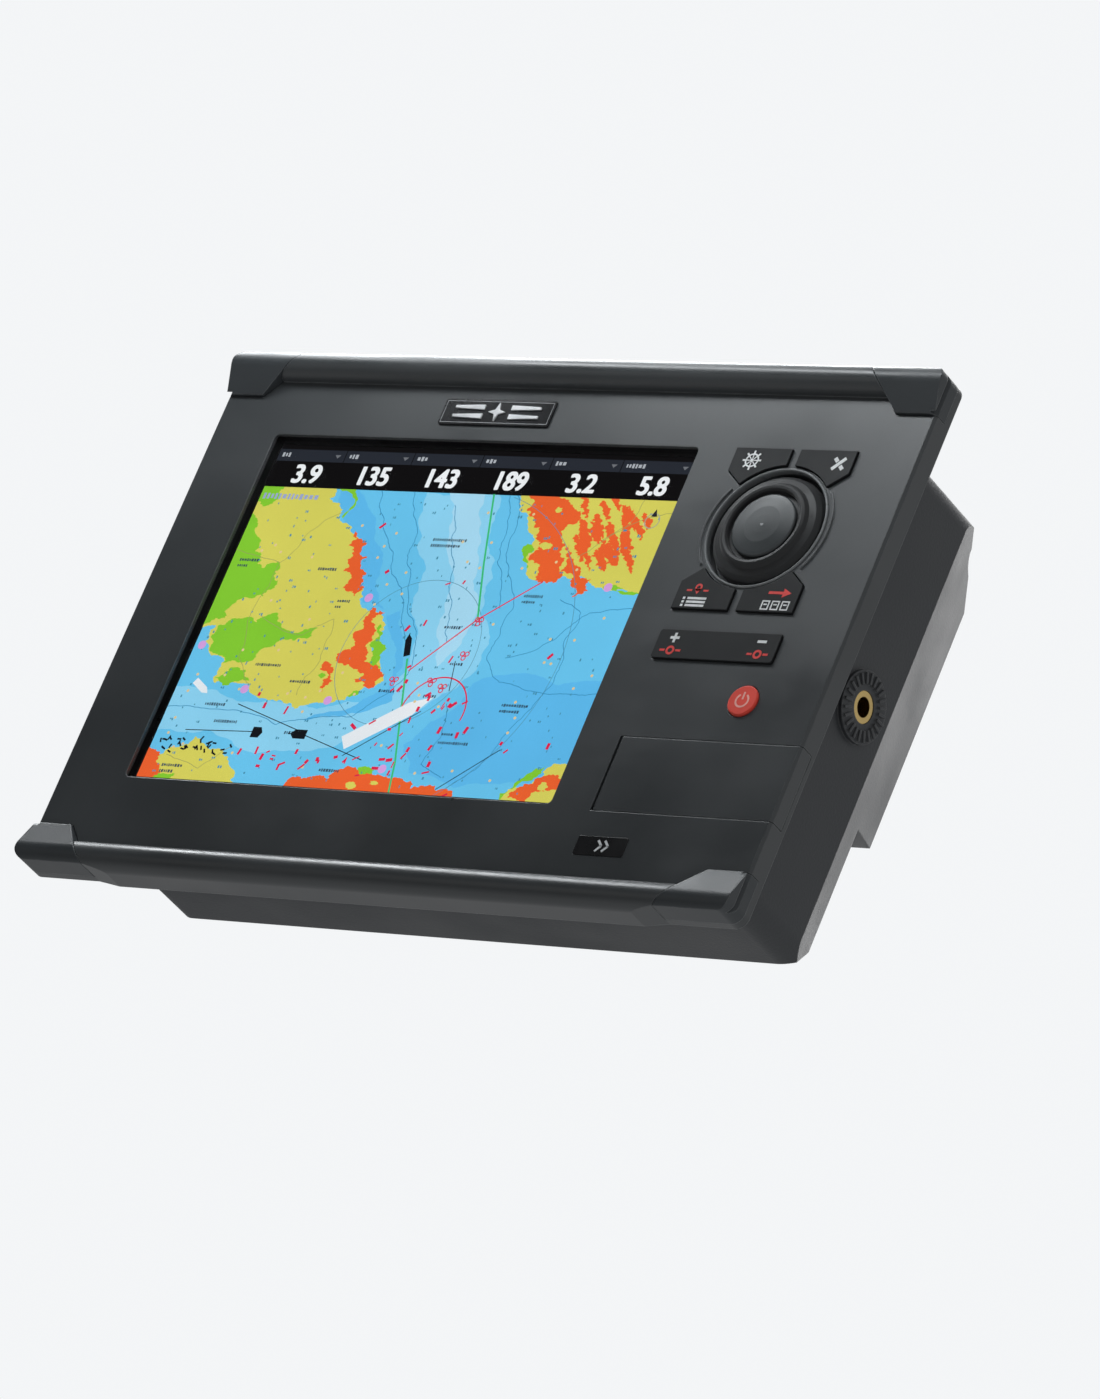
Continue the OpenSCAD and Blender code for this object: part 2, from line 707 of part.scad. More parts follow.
module rear_case() {
    color("#26282a") difference() {
        union() {
            difference() {
                case_block(0);
                case_block(case_t);
            }
            fins();
            intersection() {
                case_block(0);
                for (x = screw_xs, s = [-1, 1]) rod_y(x, s * screw_z, well_tube_r, split_y, case_d);
            }
            for (s = [0, 1]) mirror([s, 0, 0]) bracket_boss();
            rod_y(58, 36, 8, case_d - case_t, case_d + 1);
        }
        for (x = screw_xs, s = [-1, 1]) {
            rod_y(x, s * screw_z, 1.6, split_y - 1, case_d);
            rod_y(x, s * screw_z, head_r + 0.4, boss_y, case_d + 1);
        }
        for (s = [-1, 1]) translate([s * (half_cw + 5), bracket_y, 0]) rotate([0, -s * 90, 0])
            cylinder(r = 4 + slack, h = bracket_len + 5);
        for (c = connectors) rod_y(c[0], connector_z, c[1] + shell_t + 0.5, step_y - 5, step_y + 1);
        rod_y(58, 36, 5 + slack, case_d - 0.6, case_d + 2);
        rod_y(58, 36, 1.5, case_d - 5, case_d + 2);
        along_y(split_y - 1, split_y + 0.8) ring_2d(case_w - 1.3, case_h - 1.3, case_r - 0.6, seal_w);
    }
}

module case_seal() {
    color("#101010") along_y(split_y, split_y + 0.8) ring_2d(case_w - 1.3, case_h - 1.3, case_r - 0.6, seal_w);
}

// A cross-head pan screw along Y: its head is behind y and its shank runs forward.
module pan_screw(x, z, y, length, r_head) {
    difference() {
        union() {
            translate([x, y, z]) rotate([-90, 0, 0]) cylinder(r1 = r_head, r2 = r_head - 0.5, h = 2);
            rod_y(x, z, screw_r, y - length, y);
        }
        translate([x, y + 1.6, z]) {
            cube([0.7, 1.4, 3], center = true);
            cube([3, 1.4, 0.7], center = true);
        }
    }
}

module case_screws() {
    color("silver") for (x = screw_xs, s = [-1, 1]) pan_screw(x, s * screw_z, boss_y, boss_y - 0.2, head_r);
}

// Electronics

module main_board() {
    color("#2f6b3f") translate([0, 0, 2]) difference() {
        along_y(pcb_y, pcb_y + pcb_t) square([pcb_size[0], pcb_size[1]], center = true);
        for (p = standoffs) rod_y(p[0], p[1] - 2, 1.5, pcb_y - 1, pcb_y + pcb_t + 1);
        translate([pcb_notch[0], pcb_y - 1, pcb_notch[1] - 52]) cube([50, 5, 50]);
    }
}

module board_chips() {
    // x, z, width, height, thickness
    chips = [[-26, 16, 27, 27, 2.4], [10, 26, 14, 11, 1.2], [10, 8, 14, 11, 1.2], [-58, 22, 18, 18, 1.5],
        [-58, -6, 10, 16, 3], [40, 14, 20, 14, 1.6]];
    color("#181818") for (c = chips)
        translate([c[0], 0, c[1]]) along_y(pcb_y + pcb_t, pcb_y + pcb_t + c[4])
            square([c[2], c[3]], center = true);
}

module heat_spreader() {
    base = pcb_y + pcb_t + 2.4;
    top = case_d - case_t;
    color("#c4c8cc") translate([-26, 0, 16]) along_z(-14, 14)
        polygon([[-15, base], [15, base], [15, base + 3], [5, base + 3], [5, top - 3], [18, top - 3],
            [18, top],
            [-18, top], [-18, top - 3], [-5, top - 3], [-5, base + 3], [-15, base + 3]]);
}

module board_standoffs() {
    color("#c8a24a") for (p = standoffs) difference() {
        translate([p[0], pcb_y, p[1]]) rotate([90, 0, 0]) cylinder(r = 2.9, h = pcb_y - tray_back_y, $fn = 6);
        rod_y(p[0], p[1], screw_r + slack, pcb_y - 8, pcb_y + 1);
    }
}

module chassis_screws() {
    color("silver") {
        for (p = standoffs) pan_screw(p[0], p[1], pcb_y + pcb_t, 7, 2.6);
        for (e = tray_ears) pan_screw(e[0], ear_z(e[1]), tray_back_y, 6, 2.6);
    }
}

// A flat ribbon in (y, z), folded back from the screen tray to the main board.
module lcd_ribbon() {
    start = tray_back_y;
    t = 0.3;
    color("#c98a2b") along_x(-50, -20) polygon([
        [start, -30], [start, -30 - t], [start + 8, -30 - t], [start + 8, -20], [pcb_y, -20], [pcb_y, -20 + t],
        [start + 8 - t, -20 + t], [start + 8 - t, -30],
    ]);
}

module keypad_ribbon() {
    start = board_y + pcb_t;
    t = 0.3;
    color("#c98a2b") along_x(62, 76) polygon([
        [start, 16], [start, 16 - t], [start + 9, 16 - t], [start + 9, 26], [pcb_y, 26], [pcb_y, 26 + t],
        [start + 9 - t, 26 + t], [start + 9 - t, 16],
    ]);
}

// Connectors

module connector_plate() {
    color("#3b3d40") difference() {
        translate([0, 0, connector_z]) along_y(step_y, step_y + plate_t) rounded(148, 27, 4);
        for (c = connectors) rod_y(c[0], connector_z, c[1] + shell_t + 0.3, step_y - 1, step_y + plate_t + 1);
    }
}

// A round socket: a wide base behind a collar, and an open shell with thread-like grooves.
module socket(c, collar) {
    x = c[0];
    r = c[1];
    base_y = step_y - 6;
    color(collar) difference() {
        union() {
            rod_y(x, connector_z, r + shell_t, base_y, step_y + plate_t + 1.5);
            rod_y(x, connector_z, r, base_y, connector_end_y);
            translate([x, step_y + plate_t + 2.5, connector_z]) rotate([90, 0, 0])
                cylinder(r = r + 3, h = 2.5, $fn = 6);
        }
        rod_y(x, connector_z, r - shell_t, step_y + plate_t, connector_end_y + 1);
        for (y = [connector_end_y - 8 : 2 : connector_end_y - 2])
            rotate_ring(x, y, r);
    }
}

// A shallow groove round a socket's shell.
module rotate_ring(x, y, r) {
    translate([x, y, connector_z]) rotate([90, 0, 0]) rotate_extrude()
        polygon([[r - 0.4, 0], [r + 1, -0.6], [r + 1, 0.6]]);
}

module connector_inserts() {
    color("#151515") for (c = connectors)
        rod_y(c[0], connector_z, c[1] - shell_t - slack, step_y + plate_t, connector_end_y - 5);
}

module contact_pins() {
    color("#d4af5a") for (c = connectors, i = [0:c[2] - 1]) {
        a = 90 + 360 * i / c[2];
        rod_y(c[0] + 0.55 * c[1] * cos(a), connector_z + 0.55 * c[1] * sin(a), 0.5,
            connector_end_y - 5, connector_end_y - 1.5);
    }
}

// A moulded cap over a socket, closed at the back with a pull tab.
module dust_cap(c) {
    x = c[0];
    outer = c[1] + cap_wall;
    start = step_y + plate_t + 3;
    color("#1d1e1f") difference() {
        union() {
            rod_y(x, connector_z, outer, start, connector_end_y + 1.6);
            for (i = [0:11]) rotate_about(x, i * 30)
                translate([x + outer - 0.4, start, connector_z - 0.7])
                    cube([0.9, connector_end_y + 0.6 - start, 1.4]);
            translate([x - 3, connector_end_y + 1, connector_z - 1]) cube([6, 4, 2]);
        }
        rod_y(x, connector_z, c[1] + touch_gap, start - 1, connector_end_y + 0.1);
    }
}

// Turns its children about the Y axis through a connector.
module rotate_about(x, angle) {
    translate([x, 0, connector_z]) rotate([0, angle, 0]) translate([-x, 0, -connector_z]) children();
}

module bracket_inserts() {
    color("#c8a24a") for (s = [-1, 1]) translate([s * (half_cw + 1), bracket_y, 0]) rotate([0, -s * 90, 0])
        difference() {
            cylinder(r = 4, h = bracket_len);
            translate([0, 0, -1]) cylinder(r = bracket_r, h = bracket_len + 2);
        }
}

module vent_plug() {
    color("#4b4f52") union() {
        rod_y(58, 36, 5, case_d - 0.6, case_d + 1.6);
        for (i = [0:2]) translate([53.6 + i * 3.2, case_d + 1.2, 34]) cube([1.2, 1.2, 4]);
    }
}

module rating_label() {
    color("#b8bcc0") translate([52, 0, 8]) along_y(case_d, case_d + 0.2) rounded(46, 22, 1.5);
}

front_bezel();
corner_clip(1, 0);  // corner_clip_top_left
corner_clip(0, 0);  // corner_clip_top_right
corner_clip(1, 1);  // corner_clip_bottom_left
corner_clip(0, 1);  // corner_clip_bottom_right
panel_gasket();
glass_gasket();
cover_glass();
lcd_panel();
backlight();
lcd_tray();
knob_surround_ring();
knob_core();
knob_grip();
knob_cap();
encoder_shaft();
encoder_plunger();
encoder_body();
shaft_seal();
arc_key(-1, 1);  // autopilot_key
arc_key(1, 1);  // exit_key
arc_key(-1, -1);  // menu_key
arc_key(1, -1);  // pages_key
zoom_key();
zoom_key_pin();
zoom_key_carrier();
power_key();
keymat();
keypad_board();
card_door();
card_door_pin();
card_door_seal();
card_reader();
chart_card();
badge_plate();
badge_emblem();
corner_badge();
rear_case();
case_seal();
case_screws();
main_board();
board_chips();
heat_spreader();
board_standoffs();
chassis_screws();
lcd_ribbon();
keypad_ribbon();
connector_plate();
socket(connectors[0], "#2a2c2e");  // power_connector
socket(connectors[1], "#2a2c2e");  // data_bus_connector
socket(connectors[2], "#2a2c2e");  // network_connector
socket(connectors[3], "#2a2c2e");  // video_connector
socket(connectors[4], "#2a2c2e");  // sonar_connector
connector_inserts();
contact_pins();
dust_cap(connectors[2]);  // network_dust_cap
dust_cap(connectors[4]);  // sonar_dust_cap
bracket_inserts();
vent_plug();
rating_label();
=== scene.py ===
"""Looks for a panel-mounted marine chartplotter: materials for every CAD node, the lit chart on its
screen, and the marks on its keys and badges.

Everything is in metres in the CAD frame: X to the right of someone facing the screen, Y through the
panel away from them, Z up the screen. Places come from the boxes of the CAD nodes.
"""

import json
import random
from math import cos, pi, radians, sin, tau

import bmesh
import bpy
from mathutils import Matrix, Vector


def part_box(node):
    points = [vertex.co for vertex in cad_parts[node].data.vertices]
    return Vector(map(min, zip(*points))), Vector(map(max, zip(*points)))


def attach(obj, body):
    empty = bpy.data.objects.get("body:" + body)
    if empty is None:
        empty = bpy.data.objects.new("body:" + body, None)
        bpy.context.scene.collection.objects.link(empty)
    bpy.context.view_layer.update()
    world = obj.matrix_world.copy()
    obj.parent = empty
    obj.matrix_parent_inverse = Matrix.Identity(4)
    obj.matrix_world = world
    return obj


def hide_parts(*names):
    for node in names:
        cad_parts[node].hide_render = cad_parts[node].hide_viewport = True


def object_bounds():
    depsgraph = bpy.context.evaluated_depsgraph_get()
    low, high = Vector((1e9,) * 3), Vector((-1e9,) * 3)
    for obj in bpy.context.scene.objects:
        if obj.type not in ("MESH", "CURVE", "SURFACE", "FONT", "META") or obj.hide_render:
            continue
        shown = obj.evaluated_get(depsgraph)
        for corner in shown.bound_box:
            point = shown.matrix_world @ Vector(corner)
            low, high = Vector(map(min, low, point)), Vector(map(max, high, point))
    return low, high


MM = 0.001
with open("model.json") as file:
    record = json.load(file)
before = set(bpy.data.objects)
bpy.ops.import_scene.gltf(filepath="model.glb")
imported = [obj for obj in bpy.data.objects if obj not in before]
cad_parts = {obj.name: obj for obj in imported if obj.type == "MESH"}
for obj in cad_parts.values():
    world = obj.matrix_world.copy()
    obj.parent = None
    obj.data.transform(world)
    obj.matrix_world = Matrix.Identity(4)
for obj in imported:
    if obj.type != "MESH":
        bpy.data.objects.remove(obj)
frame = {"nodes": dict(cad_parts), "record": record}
cad_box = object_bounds()

# ---------------------------------------------------------------- camera, lights and floor

CAMERA_DIRECTION = Vector((0.618, -0.680, -0.394)).normalized()
CAMERA_DISTANCE = 2.07
CAMERA_LENS = 218
CAMERA_SENSOR = 36
CAMERA_CLIP = 0.05
SCREEN_LEAN = radians(35.2)  # how far the screen leans back in use
UPRIGHT = Vector((0, -sin(SCREEN_LEAN), cos(SCREEN_LEAN)))
LIGHT_UP = Vector((0, 0.01, 1))   # almost straight up, so that a light may look straight down
FLOOR_DROP = 1.25
FLOOR_REACH = 6
FLOOR_COLOUR = (0.8, 0.8, 0.79)
FLOOR_GLOW = 0.45
DARK_CARD_DIRECTION = (-0.55, -0.68, 0.45)
DARK_CARD_FADE = (0.1, 0.85)      # cosines from that direction between which the room fades to the card
BACKGROUND = 0.93                 # what the camera sees behind the object
ROOM = 0.5                        # how much the pale room lights the object
CARD = 0.02                       # how much of that is left in front of the dark card
ROOM_TINT = (0.97, 0.985, 1, 1)
RANGE_SOCKETS = ("From Min", "From Max", "To Min", "To Max")


def look(location, target, up):
    """A matrix for something at location that looks at target with up kept upwards."""
    back = (location - target).normalized()
    right = up.cross(back).normalized()
    turn = Matrix((right, back.cross(right), back)).transposed().to_4x4()
    return Matrix.Translation(location) @ turn


def add_object(name, data):
    thing = bpy.data.objects.new(name, data)
    bpy.context.scene.collection.objects.link(thing)
    return thing


def make_camera(centre):
    camera = add_object("camera", bpy.data.cameras.new("camera"))
    camera.data.lens = CAMERA_LENS
    camera.data.sensor_width = CAMERA_SENSOR
    camera.data.clip_start = CAMERA_CLIP
    camera.matrix_world = look(centre + CAMERA_DIRECTION * CAMERA_DISTANCE, centre, UPRIGHT)
    bpy.context.scene.camera = camera
    bpy.context.scene.view_settings.view_transform = "Standard"


def area_light(name, place, size, power, colour=(1, 1, 1), length=None, target=(0, 0, 0)):
    """A soft light at a place, aimed at target; a length makes it a strip along the screen's width."""
    light = bpy.data.lights.new(name, "AREA")
    light.shape = "RECTANGLE"
    light.size = length or size
    light.size_y = size
    light.energy = power
    light.color = colour
    holder = add_object(name, light)
    holder.matrix_world = look(Vector(place), Vector(target), LIGHT_UP)
    holder.visible_camera = False


def pale_studio():
    """A pale surrounding with one large dark card up in front, which the screen and the bezel mirror."""
    world = bpy.data.worlds.new("pale_studio")
    world.use_nodes = True
    tree = world.node_tree
    toward = tree.nodes.new("ShaderNodeVectorMath")
    toward.operation = "DOT_PRODUCT"
    toward.inputs[1].default_value = DARK_CARD_DIRECTION
    tree.links.new(tree.nodes.new("ShaderNodeTexCoord").outputs["Generated"], toward.inputs[0])
    shade = tree.nodes.new("ShaderNodeMapRange")
    shade.interpolation_type = "SMOOTHSTEP"
    put(shade, dict(zip(RANGE_SOCKETS, (*DARK_CARD_FADE, ROOM, CARD))))
    tree.links.new(toward.outputs["Value"], shade.inputs["Value"])
    seen = tree.nodes.new("ShaderNodeMix")
    tree.links.new(tree.nodes.new("ShaderNodeLightPath").outputs["Is Camera Ray"], seen.inputs["Factor"])
    tree.links.new(shade.outputs["Result"], seen.inputs["A"])
    put(seen, {"B": BACKGROUND})
    tree.links.new(seen.outputs["Result"], tree.nodes["Background"].inputs["Strength"])
    put(tree.nodes["Background"], {"Color": ROOM_TINT})
    bpy.context.scene.world = world


def make_lights():
    """A strip close above the screen grades its face from top to bottom, and one behind lights the ridges."""
    _, top = cad_box
    area_light("brow_strip", (-0.05, -0.15, top.z + 0.13), size=0.05, power=0.6, colour=(0.93, 0.97, 1),
               length=0.34, target=(0, 0, 0.03))
    area_light("ridge_strip", (-0.62, 0.26, 0.76), size=0.16, power=9, colour=(0.94, 0.975, 1), length=0.9)
    area_light("front_fill", (-0.9, -1.55, -0.2), size=0.8, power=0.9, colour=(1, 0.98, 0.95))
    area_light("rear_fill", (-0.7, 1.75, 0.9), size=1.6, power=20)
    pale_studio()


def make_floor():
    """A pale floor under the object, which glows a little, so that it shows no streaks and no hard shadow."""
    mesh = bpy.data.meshes.new("floor")
    corners = rectangle(0, 0, 2 * FLOOR_REACH, 2 * FLOOR_REACH)
    mesh.from_pydata([(x, y, -FLOOR_DROP) for x, y in corners], [], [(0, 1, 2, 3)])
    floor = add_object("floor", mesh)
    paint = surface("floor_paint", FLOOR_COLOUR, 0.7, grain=0.0005, mottle=0.01, mottle_size=0.4, bevel=0)
    put(paint.node_tree.nodes["Principled BSDF"],
        {"Emission Color": (*FLOOR_COLOUR, 1), "Emission Strength": FLOOR_GLOW})
    mesh.materials.append(paint)
    floor.visible_diffuse = False
    floor.visible_glossy = False


# ---------------------------------------------------------------- materials

COLOUR_A, COLOUR_B, COLOUR_RESULT = 6, 7, 2  # a colour mix node's own sockets
NOISE_SPAN = (0.3, 0.7)                      # nearly all of a noise's values are between these
EDGE_COSINES = (0.995, 0.8)                  # smoothed against true normal, from no edge wear to full edge wear, which on some finishes is also painted highlight


def put(node, constants):
    """Constants on a node's input sockets."""
    for key, value in constants.items():
        node.inputs[key].default_value = value


class Nodes:
    """A material's node tree, with short calls for the nodes that these materials share."""

    def __init__(self, name):
        self.material = bpy.data.materials.new(name)
        self.material.use_nodes = True
        self.tree = self.material.node_tree
        self.shader = self.tree.nodes["Principled BSDF"]
        self.place = self.add("ShaderNodeTexCoord").outputs["Object"]

    def add(self, kind, constants=None, **settings):
        """A node with its settings, and constants on its input sockets."""
        node = self.tree.nodes.new(kind)
        for key, value in settings.items():
            setattr(node, key, value)
        put(node, constants or {})
        return node

    def join(self, output, socket):
        self.tree.links.new(output, socket)

    def noise(self, size, detail=4.0, stretch=(1, 1, 1)):
        """Noise whose lumps are about size metres across, drawn out along an axis by stretch."""
        mapping = self.add("ShaderNodeMapping", {"Scale": [1 / (size * s) for s in stretch]})
        self.join(self.place, mapping.inputs["Vector"])
        noise = self.add("ShaderNodeTexNoise", {"Scale": 1, "Detail": detail})
        self.join(mapping.outputs["Vector"], noise.inputs["Vector"])
        return noise.outputs["Fac"]

    def remap(self, value, low, high, to_low=0.0, to_high=1.0):
        limits = dict(zip(RANGE_SOCKETS, (low, high, to_low, to_high)))
        node = self.add("ShaderNodeMapRange", limits, clamp=True)
        self.join(value, node.inputs["Value"])
        return node.outputs["Result"]

    def spread(self, noise, to_low=0.0, to_high=1.0):
        """A noise stretched from its usual span to a range of its own."""
        return self.remap(noise, *NOISE_SPAN, to_low, to_high)

    def math(self, operation, first, second):
        node = self.add("ShaderNodeMath", operation=operation)
        for socket, value in zip(node.inputs, (first, second)):
            if isinstance(value, (int, float)):
                socket.default_value = value
            else:
                self.join(value, socket)
        return node.outputs[0]

    def mix(self, factor, first, second):
        """A colour between two colours or sockets."""
        node = self.add("ShaderNodeMix", data_type="RGBA")
        self.join(factor, node.inputs["Factor"])
        for socket, value in ((node.inputs[COLOUR_A], first), (node.inputs[COLOUR_B], second)):
            if isinstance(value, tuple):
                socket.default_value = (*value, 1)
            else:
                self.join(value, socket)
        return node.outputs[COLOUR_RESULT]

    def relief(self, height, strength, depth, normal=None):
        """Bumps of a height, over the true normal or another."""
        node = self.add("ShaderNodeBump", {"Strength": strength, "Distance": depth})
        self.join(height, node.inputs["Height"])
        if normal is not None:
            self.join(normal, node.inputs["Normal"])
        self.join(node.outputs["Normal"], self.shader.inputs["Normal"])

    def feed(self, **outputs):
        """Outputs joined to the shader's own sockets, named with _ for each space."""
        for key, output in outputs.items():
            self.join(output, self.shader.inputs[key.replace("_", " ")])


def times(colour, factor):
    return tuple(min(1.0, c * factor) for c in colour)


def surface(name, colour, roughness, metallic=0.0, grain=0.0004, bump=0.25, depth=0.00003, mottle=0.12,
            mottle_size=0.02, rough_spread=0.08, wear=0.35, wear_colour=None, bevel=0.00025,
            stretch=(1, 1, 1), smudge=0.0, coat=0.0, coat_rough=0.1, specular=0.5):
    """A finish with uneven colour, grain, uneven gloss, softened edges, and wear and painted highlight on
    them.
    """
    n = Nodes(name)
    patches = n.noise(mottle_size, 5)
    fine = n.noise(grain, 3, stretch)
    body = n.mix(n.spread(patches), times(colour, 1 - mottle), times(colour, 1 + mottle))
    body = n.mix(n.remap(fine, 0.35, 0.75, 0, mottle), body, times(colour, 1.6))
    rough = n.spread(patches, roughness - rough_spread, roughness + rough_spread)
    rounded = None
    if smudge:
        marks = n.remap(n.noise(0.035, 6, (2.2, 1, 1)), 0.52, 0.7, 0, smudge)
        rough = n.math("ADD", rough, marks)
    if bevel:
        soft = n.add("ShaderNodeBevel", {"Radius": bevel}, samples=4)
        flat = n.add("ShaderNodeNewGeometry")
        dot = n.add("ShaderNodeVectorMath", operation="DOT_PRODUCT")
        n.join(soft.outputs["Normal"], dot.inputs[0])
        n.join(flat.outputs["Normal"], dot.inputs[1])
        # Edges lighter than the body: wear, and on the bezel, the clips and the trim ring also a painted
        # highlight, a light line along each edge.
        edge = n.remap(dot.outputs["Value"], *EDGE_COSINES, 0, wear)
        edge = n.math("MULTIPLY", edge, n.remap(n.noise(0.004, 5), 0.35, 0.62, 0.25, 1))
        body = n.mix(edge, body, wear_colour or times(colour, 2.6))
        rounded = soft.outputs["Normal"]
    n.relief(fine, bump, depth, rounded)
    n.feed(Base_Color=body, Roughness=rough)
    put(n.shader, {"Metallic": metallic, "Coat Weight": coat, "Coat Roughness": coat_rough,
                   "Specular IOR Level": specular})
    return n.material


def rubber(name, colour, roughness=0.62, sheen=0.25, **more):
    """Soft moulded rubber, with a dusty sheen."""
    more = {"grain": 0.0003, "bump": 0.4, "specular": 0.35, "wear": 0.2, **more}
    material = surface(name, colour, roughness, **more)
    put(material.node_tree.nodes["Principled BSDF"], {"Sheen Weight": sheen, "Sheen Roughness": 0.5})
    return material


def metal(name, colour, roughness, stretch=(8, 1, 1), **more):
    """Metal with lines along the way it was drawn or turned."""
    more = {"grain": 0.00025, "bump": 0.15, "wear": 0.3, "wear_colour": times(colour, 1.25), **more}
    return surface(name, colour, roughness, metallic=1.0, stretch=stretch, **more)


def finish(make, *values, **options):
    """A finish that is made later, under the name of its slot."""
    return lambda name: make(name, *values, **options)


def cover_glass(name):
    """Clear glass with a faint film of salt and finger marks in its gloss."""
    n = Nodes(name)
    film = n.remap(n.noise(0.05, 6, (1.8, 1, 1)), 0.45, 0.72, 0.0, 0.012)
    tint = n.mix(n.spread(n.noise(0.09, 3)), (0.96, 0.98, 0.985), (1, 1, 1))
    n.relief(n.noise(0.02, 2), strength=0.02, depth=0.00001)
    n.feed(Base_Color=tint, Roughness=film)
    put(n.shader, {"Transmission Weight": 1.0, "IOR": 1.45, "Specular IOR Level": 0.18})
    return n.material


def lit(name, colour, strength=1.0, spread=0.04):
    """A colour of the screen's picture, with the slight unevenness of its backlight."""
    n = Nodes(name)
    shade = n.mix(n.spread(n.noise(0.03, 2)), times(colour, 1 - spread), times(colour, 1 + spread))
    unlit = n.mix(n.noise(0.0006, 1), times(colour, 0.03), times(colour, 0.05))
    n.feed(Emission_Color=shade, Base_Color=unlit, Roughness=n.spread(n.noise(0.001, 2), 0.3, 0.4))
    put(n.shader, {"Emission Strength": strength, "Specular IOR Level": 0.0})
    return n.material


def screen_polariser():
    """The dark film on the front of an unlit screen."""
    return surface("screen_polariser", (0.012, 0.014, 0.018), 0.25, grain=0.0002, bump=0.05, bevel=0,
                   mottle=0.2)


def printed(name, colour, roughness=0.5):
    """Ink printed on a key or a badge, with small gaps and worn spots."""
    return surface(name, colour, roughness, grain=0.00018, bump=0.3, depth=0.00001, mottle=0.14,
                   mottle_size=0.0015, wear=0, bevel=0)


def circuit_board(name):
    """Green solder mask over copper tracks."""
    n = Nodes(name)
    tracks = n.add("ShaderNodeTexBrick", {"Scale": 260, "Mortar Size": 0.03, "Color1": (0.016, 0.13, 0.05, 1),
                                          "Color2": (0.02, 0.17, 0.07, 1), "Mortar": (0.07, 0.26, 0.09, 1)})
    turned = n.add("ShaderNodeMapping", {"Rotation": (radians(90), 0, 0)})
    n.join(n.place, turned.inputs["Vector"])
    n.join(turned.outputs["Vector"], tracks.inputs["Vector"])
    body = n.mix(n.remap(n.noise(0.01), 0.4, 0.7, 0, 0.4), tracks.outputs["Color"], (0.01, 0.09, 0.035))
    n.relief(tracks.outputs["Fac"], strength=0.4, depth=0.00005)
    n.feed(Base_Color=body, Roughness=n.spread(n.noise(0.004), 0.25, 0.45))
    return n.material


